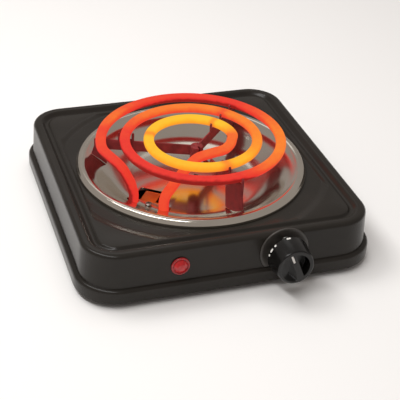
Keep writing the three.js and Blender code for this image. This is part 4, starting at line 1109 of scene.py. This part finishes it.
pointer_pit = block(pointer_size, (0, pointer_middle * MM, knob_high * MM))
close()
cut_away(cap, [bore, *pockets, pointer_pit])
apply_modifier(
    cap, "BEVEL", width=cap_edge, segments=3, limit_method="ANGLE", angle_limit=math.radians(50))
cap.data.transform(knob_rest)
fit(cap, "moulded_knob", "knob", phenolic, ["knob"], smooth=35)

# White filler, wiped into moulded marks: matt, a little grey where it has worn.
filler, shader = new_material("white_filler", IOR=1.5, Specular_IOR_Level=0.3)
wear = speckle(filler, 1.5 * MM)
vary(filler, shader, wear, Base_Color=("#c9c5bf", "#f1eee9"), Roughness=(0.5, 0.7))
fit(refined("knob_pointer", width=0.15 * MM), "filled_pointer", "knob", filler,
    ["knob_pointer"])
mark_height = 9.2
mark_depth = 0.12 * MM
mark_width = 1.5 * MM
mark_round = 0.7 * MM
# [angle round the axis in degrees, length]
side_marks = ((5, 3.2), (45, 1.7), (61, 3.2), (76, 1.7))
side_slope = (knob_radius - knob_face) / (knob_high - knob_round - knob_back - knob_edge)
mark_radius = knob_radius - side_slope * (mark_height - knob_back - knob_edge)
marks = []
for angle, length in side_marks:
    mark = block((length * MM, mark_depth, mark_width))
    pick(mark, "edges", lambda edge: span(edge, 1) > mark_depth / 2)
    bpy.ops.mesh.bevel(offset=mark_round, segments=4, affect="EDGES")
    close()
    mark.data.transform(
        knob_place @ Matrix.Rotation(math.radians(angle), 4, "Z")
        @ Matrix.Translation((0, mark_radius * MM, mark_height * MM))
        @ Matrix.Rotation(math.atan(side_slope), 4, "X"))
    marks.append(mark)
fit(merged(marks), "filled_side_marks", "knob", filler)

# Studio: a white sweep for a floor and a white backdrop. A long strip box at the left and a dim
# box behind give the enamel its sheen. Two soft boxes fill from above and behind, and no surface
# mirrors them.
floor_reach = 12.0
floor = begin(bpy.ops.mesh.primitive_plane_add, size=1)
bpy.ops.transform.resize(value=(floor_reach, floor_reach, 1), center_override=(0, 0, 0))
close()
floor.name = "studio_floor"
paper, shader = new_material("white_paper_sweep", Roughness=0.9, Specular_IOR_Level=0.1)
shader.inputs["Base Color"].default_value = linear("#f6f4f2")
floor.data.materials.append(paper)

world = bpy.data.worlds.new("studio_backdrop")
world.use_nodes = True
bpy.context.scene.world = world
backdrop = world.node_tree.nodes["Background"]
backdrop.inputs["Color"].default_value = linear("#fff7f1")
backdrop.inputs["Strength"].default_value = 0.335

aim = Vector((0, 0, 0.03))
for name, place, size, power, mirrored in (
        ("strip_box_left", (-0.52, -0.2, 1.0), (1.3, 0.12), 7, True),
        ("soft_box_dim", (0.1, 0.8, 0.85), (0.4, 0.4), 0.3, True),
        ("soft_box_key", (-0.5, 0.5, 1.1), (0.5, 0.5), 4.2, False),
        ("soft_box_above", (0.1, 0.3, 1.3), (0.8, 0.8), 3.8, False)):
    light = bpy.data.lights.new(name, "AREA")
    light.shape = "RECTANGLE"
    light.size, light.size_y = size
    light.energy = power
    lamp = bpy.data.objects.new(name, light)
    lamp.location = place
    lamp.visible_glossy = mirrored
    lamp.rotation_euler = (aim - Vector(place)).to_track_quat("-Z", "Y").to_euler()
    bpy.context.scene.collection.objects.link(lamp)

# Camera: at the photograph's viewing angle and distance, with its slight roll. A small sideways
# shift gives it the photograph's framing.
view_azimuth = math.radians(-19.028)
view_elevation = math.radians(32.821)
view_roll = math.radians(2.958)
view_distance = 778.95 * MM
view_aim = Vector((-19.06, -41.33, 40.57)) * MM
focal_length = 95.59
sideways = 0.032
back = Vector((
    math.sin(view_azimuth) * math.cos(view_elevation),
    -math.cos(view_azimuth) * math.cos(view_elevation), math.sin(view_elevation)))
right = (-back).cross(Vector((0, 0, 1))).normalized()
up = right.cross(-back)
turned_right = math.cos(view_roll) * right + math.sin(view_roll) * up
turned_up = -math.sin(view_roll) * right + math.cos(view_roll) * up
camera = bpy.data.objects.new("photo_camera", bpy.data.cameras.new("photo_camera"))
camera.matrix_world = Matrix.Translation(view_aim + back * view_distance) @ Matrix(
    (turned_right, turned_up, back)).transposed().to_4x4()
camera.data.sensor_width = 36
camera.data.lens = focal_length
camera.data.shift_x = sideways
bpy.context.scene.collection.objects.link(camera)
bpy.context.scene.camera = camera
bpy.context.scene.view_settings.view_transform = "Standard"
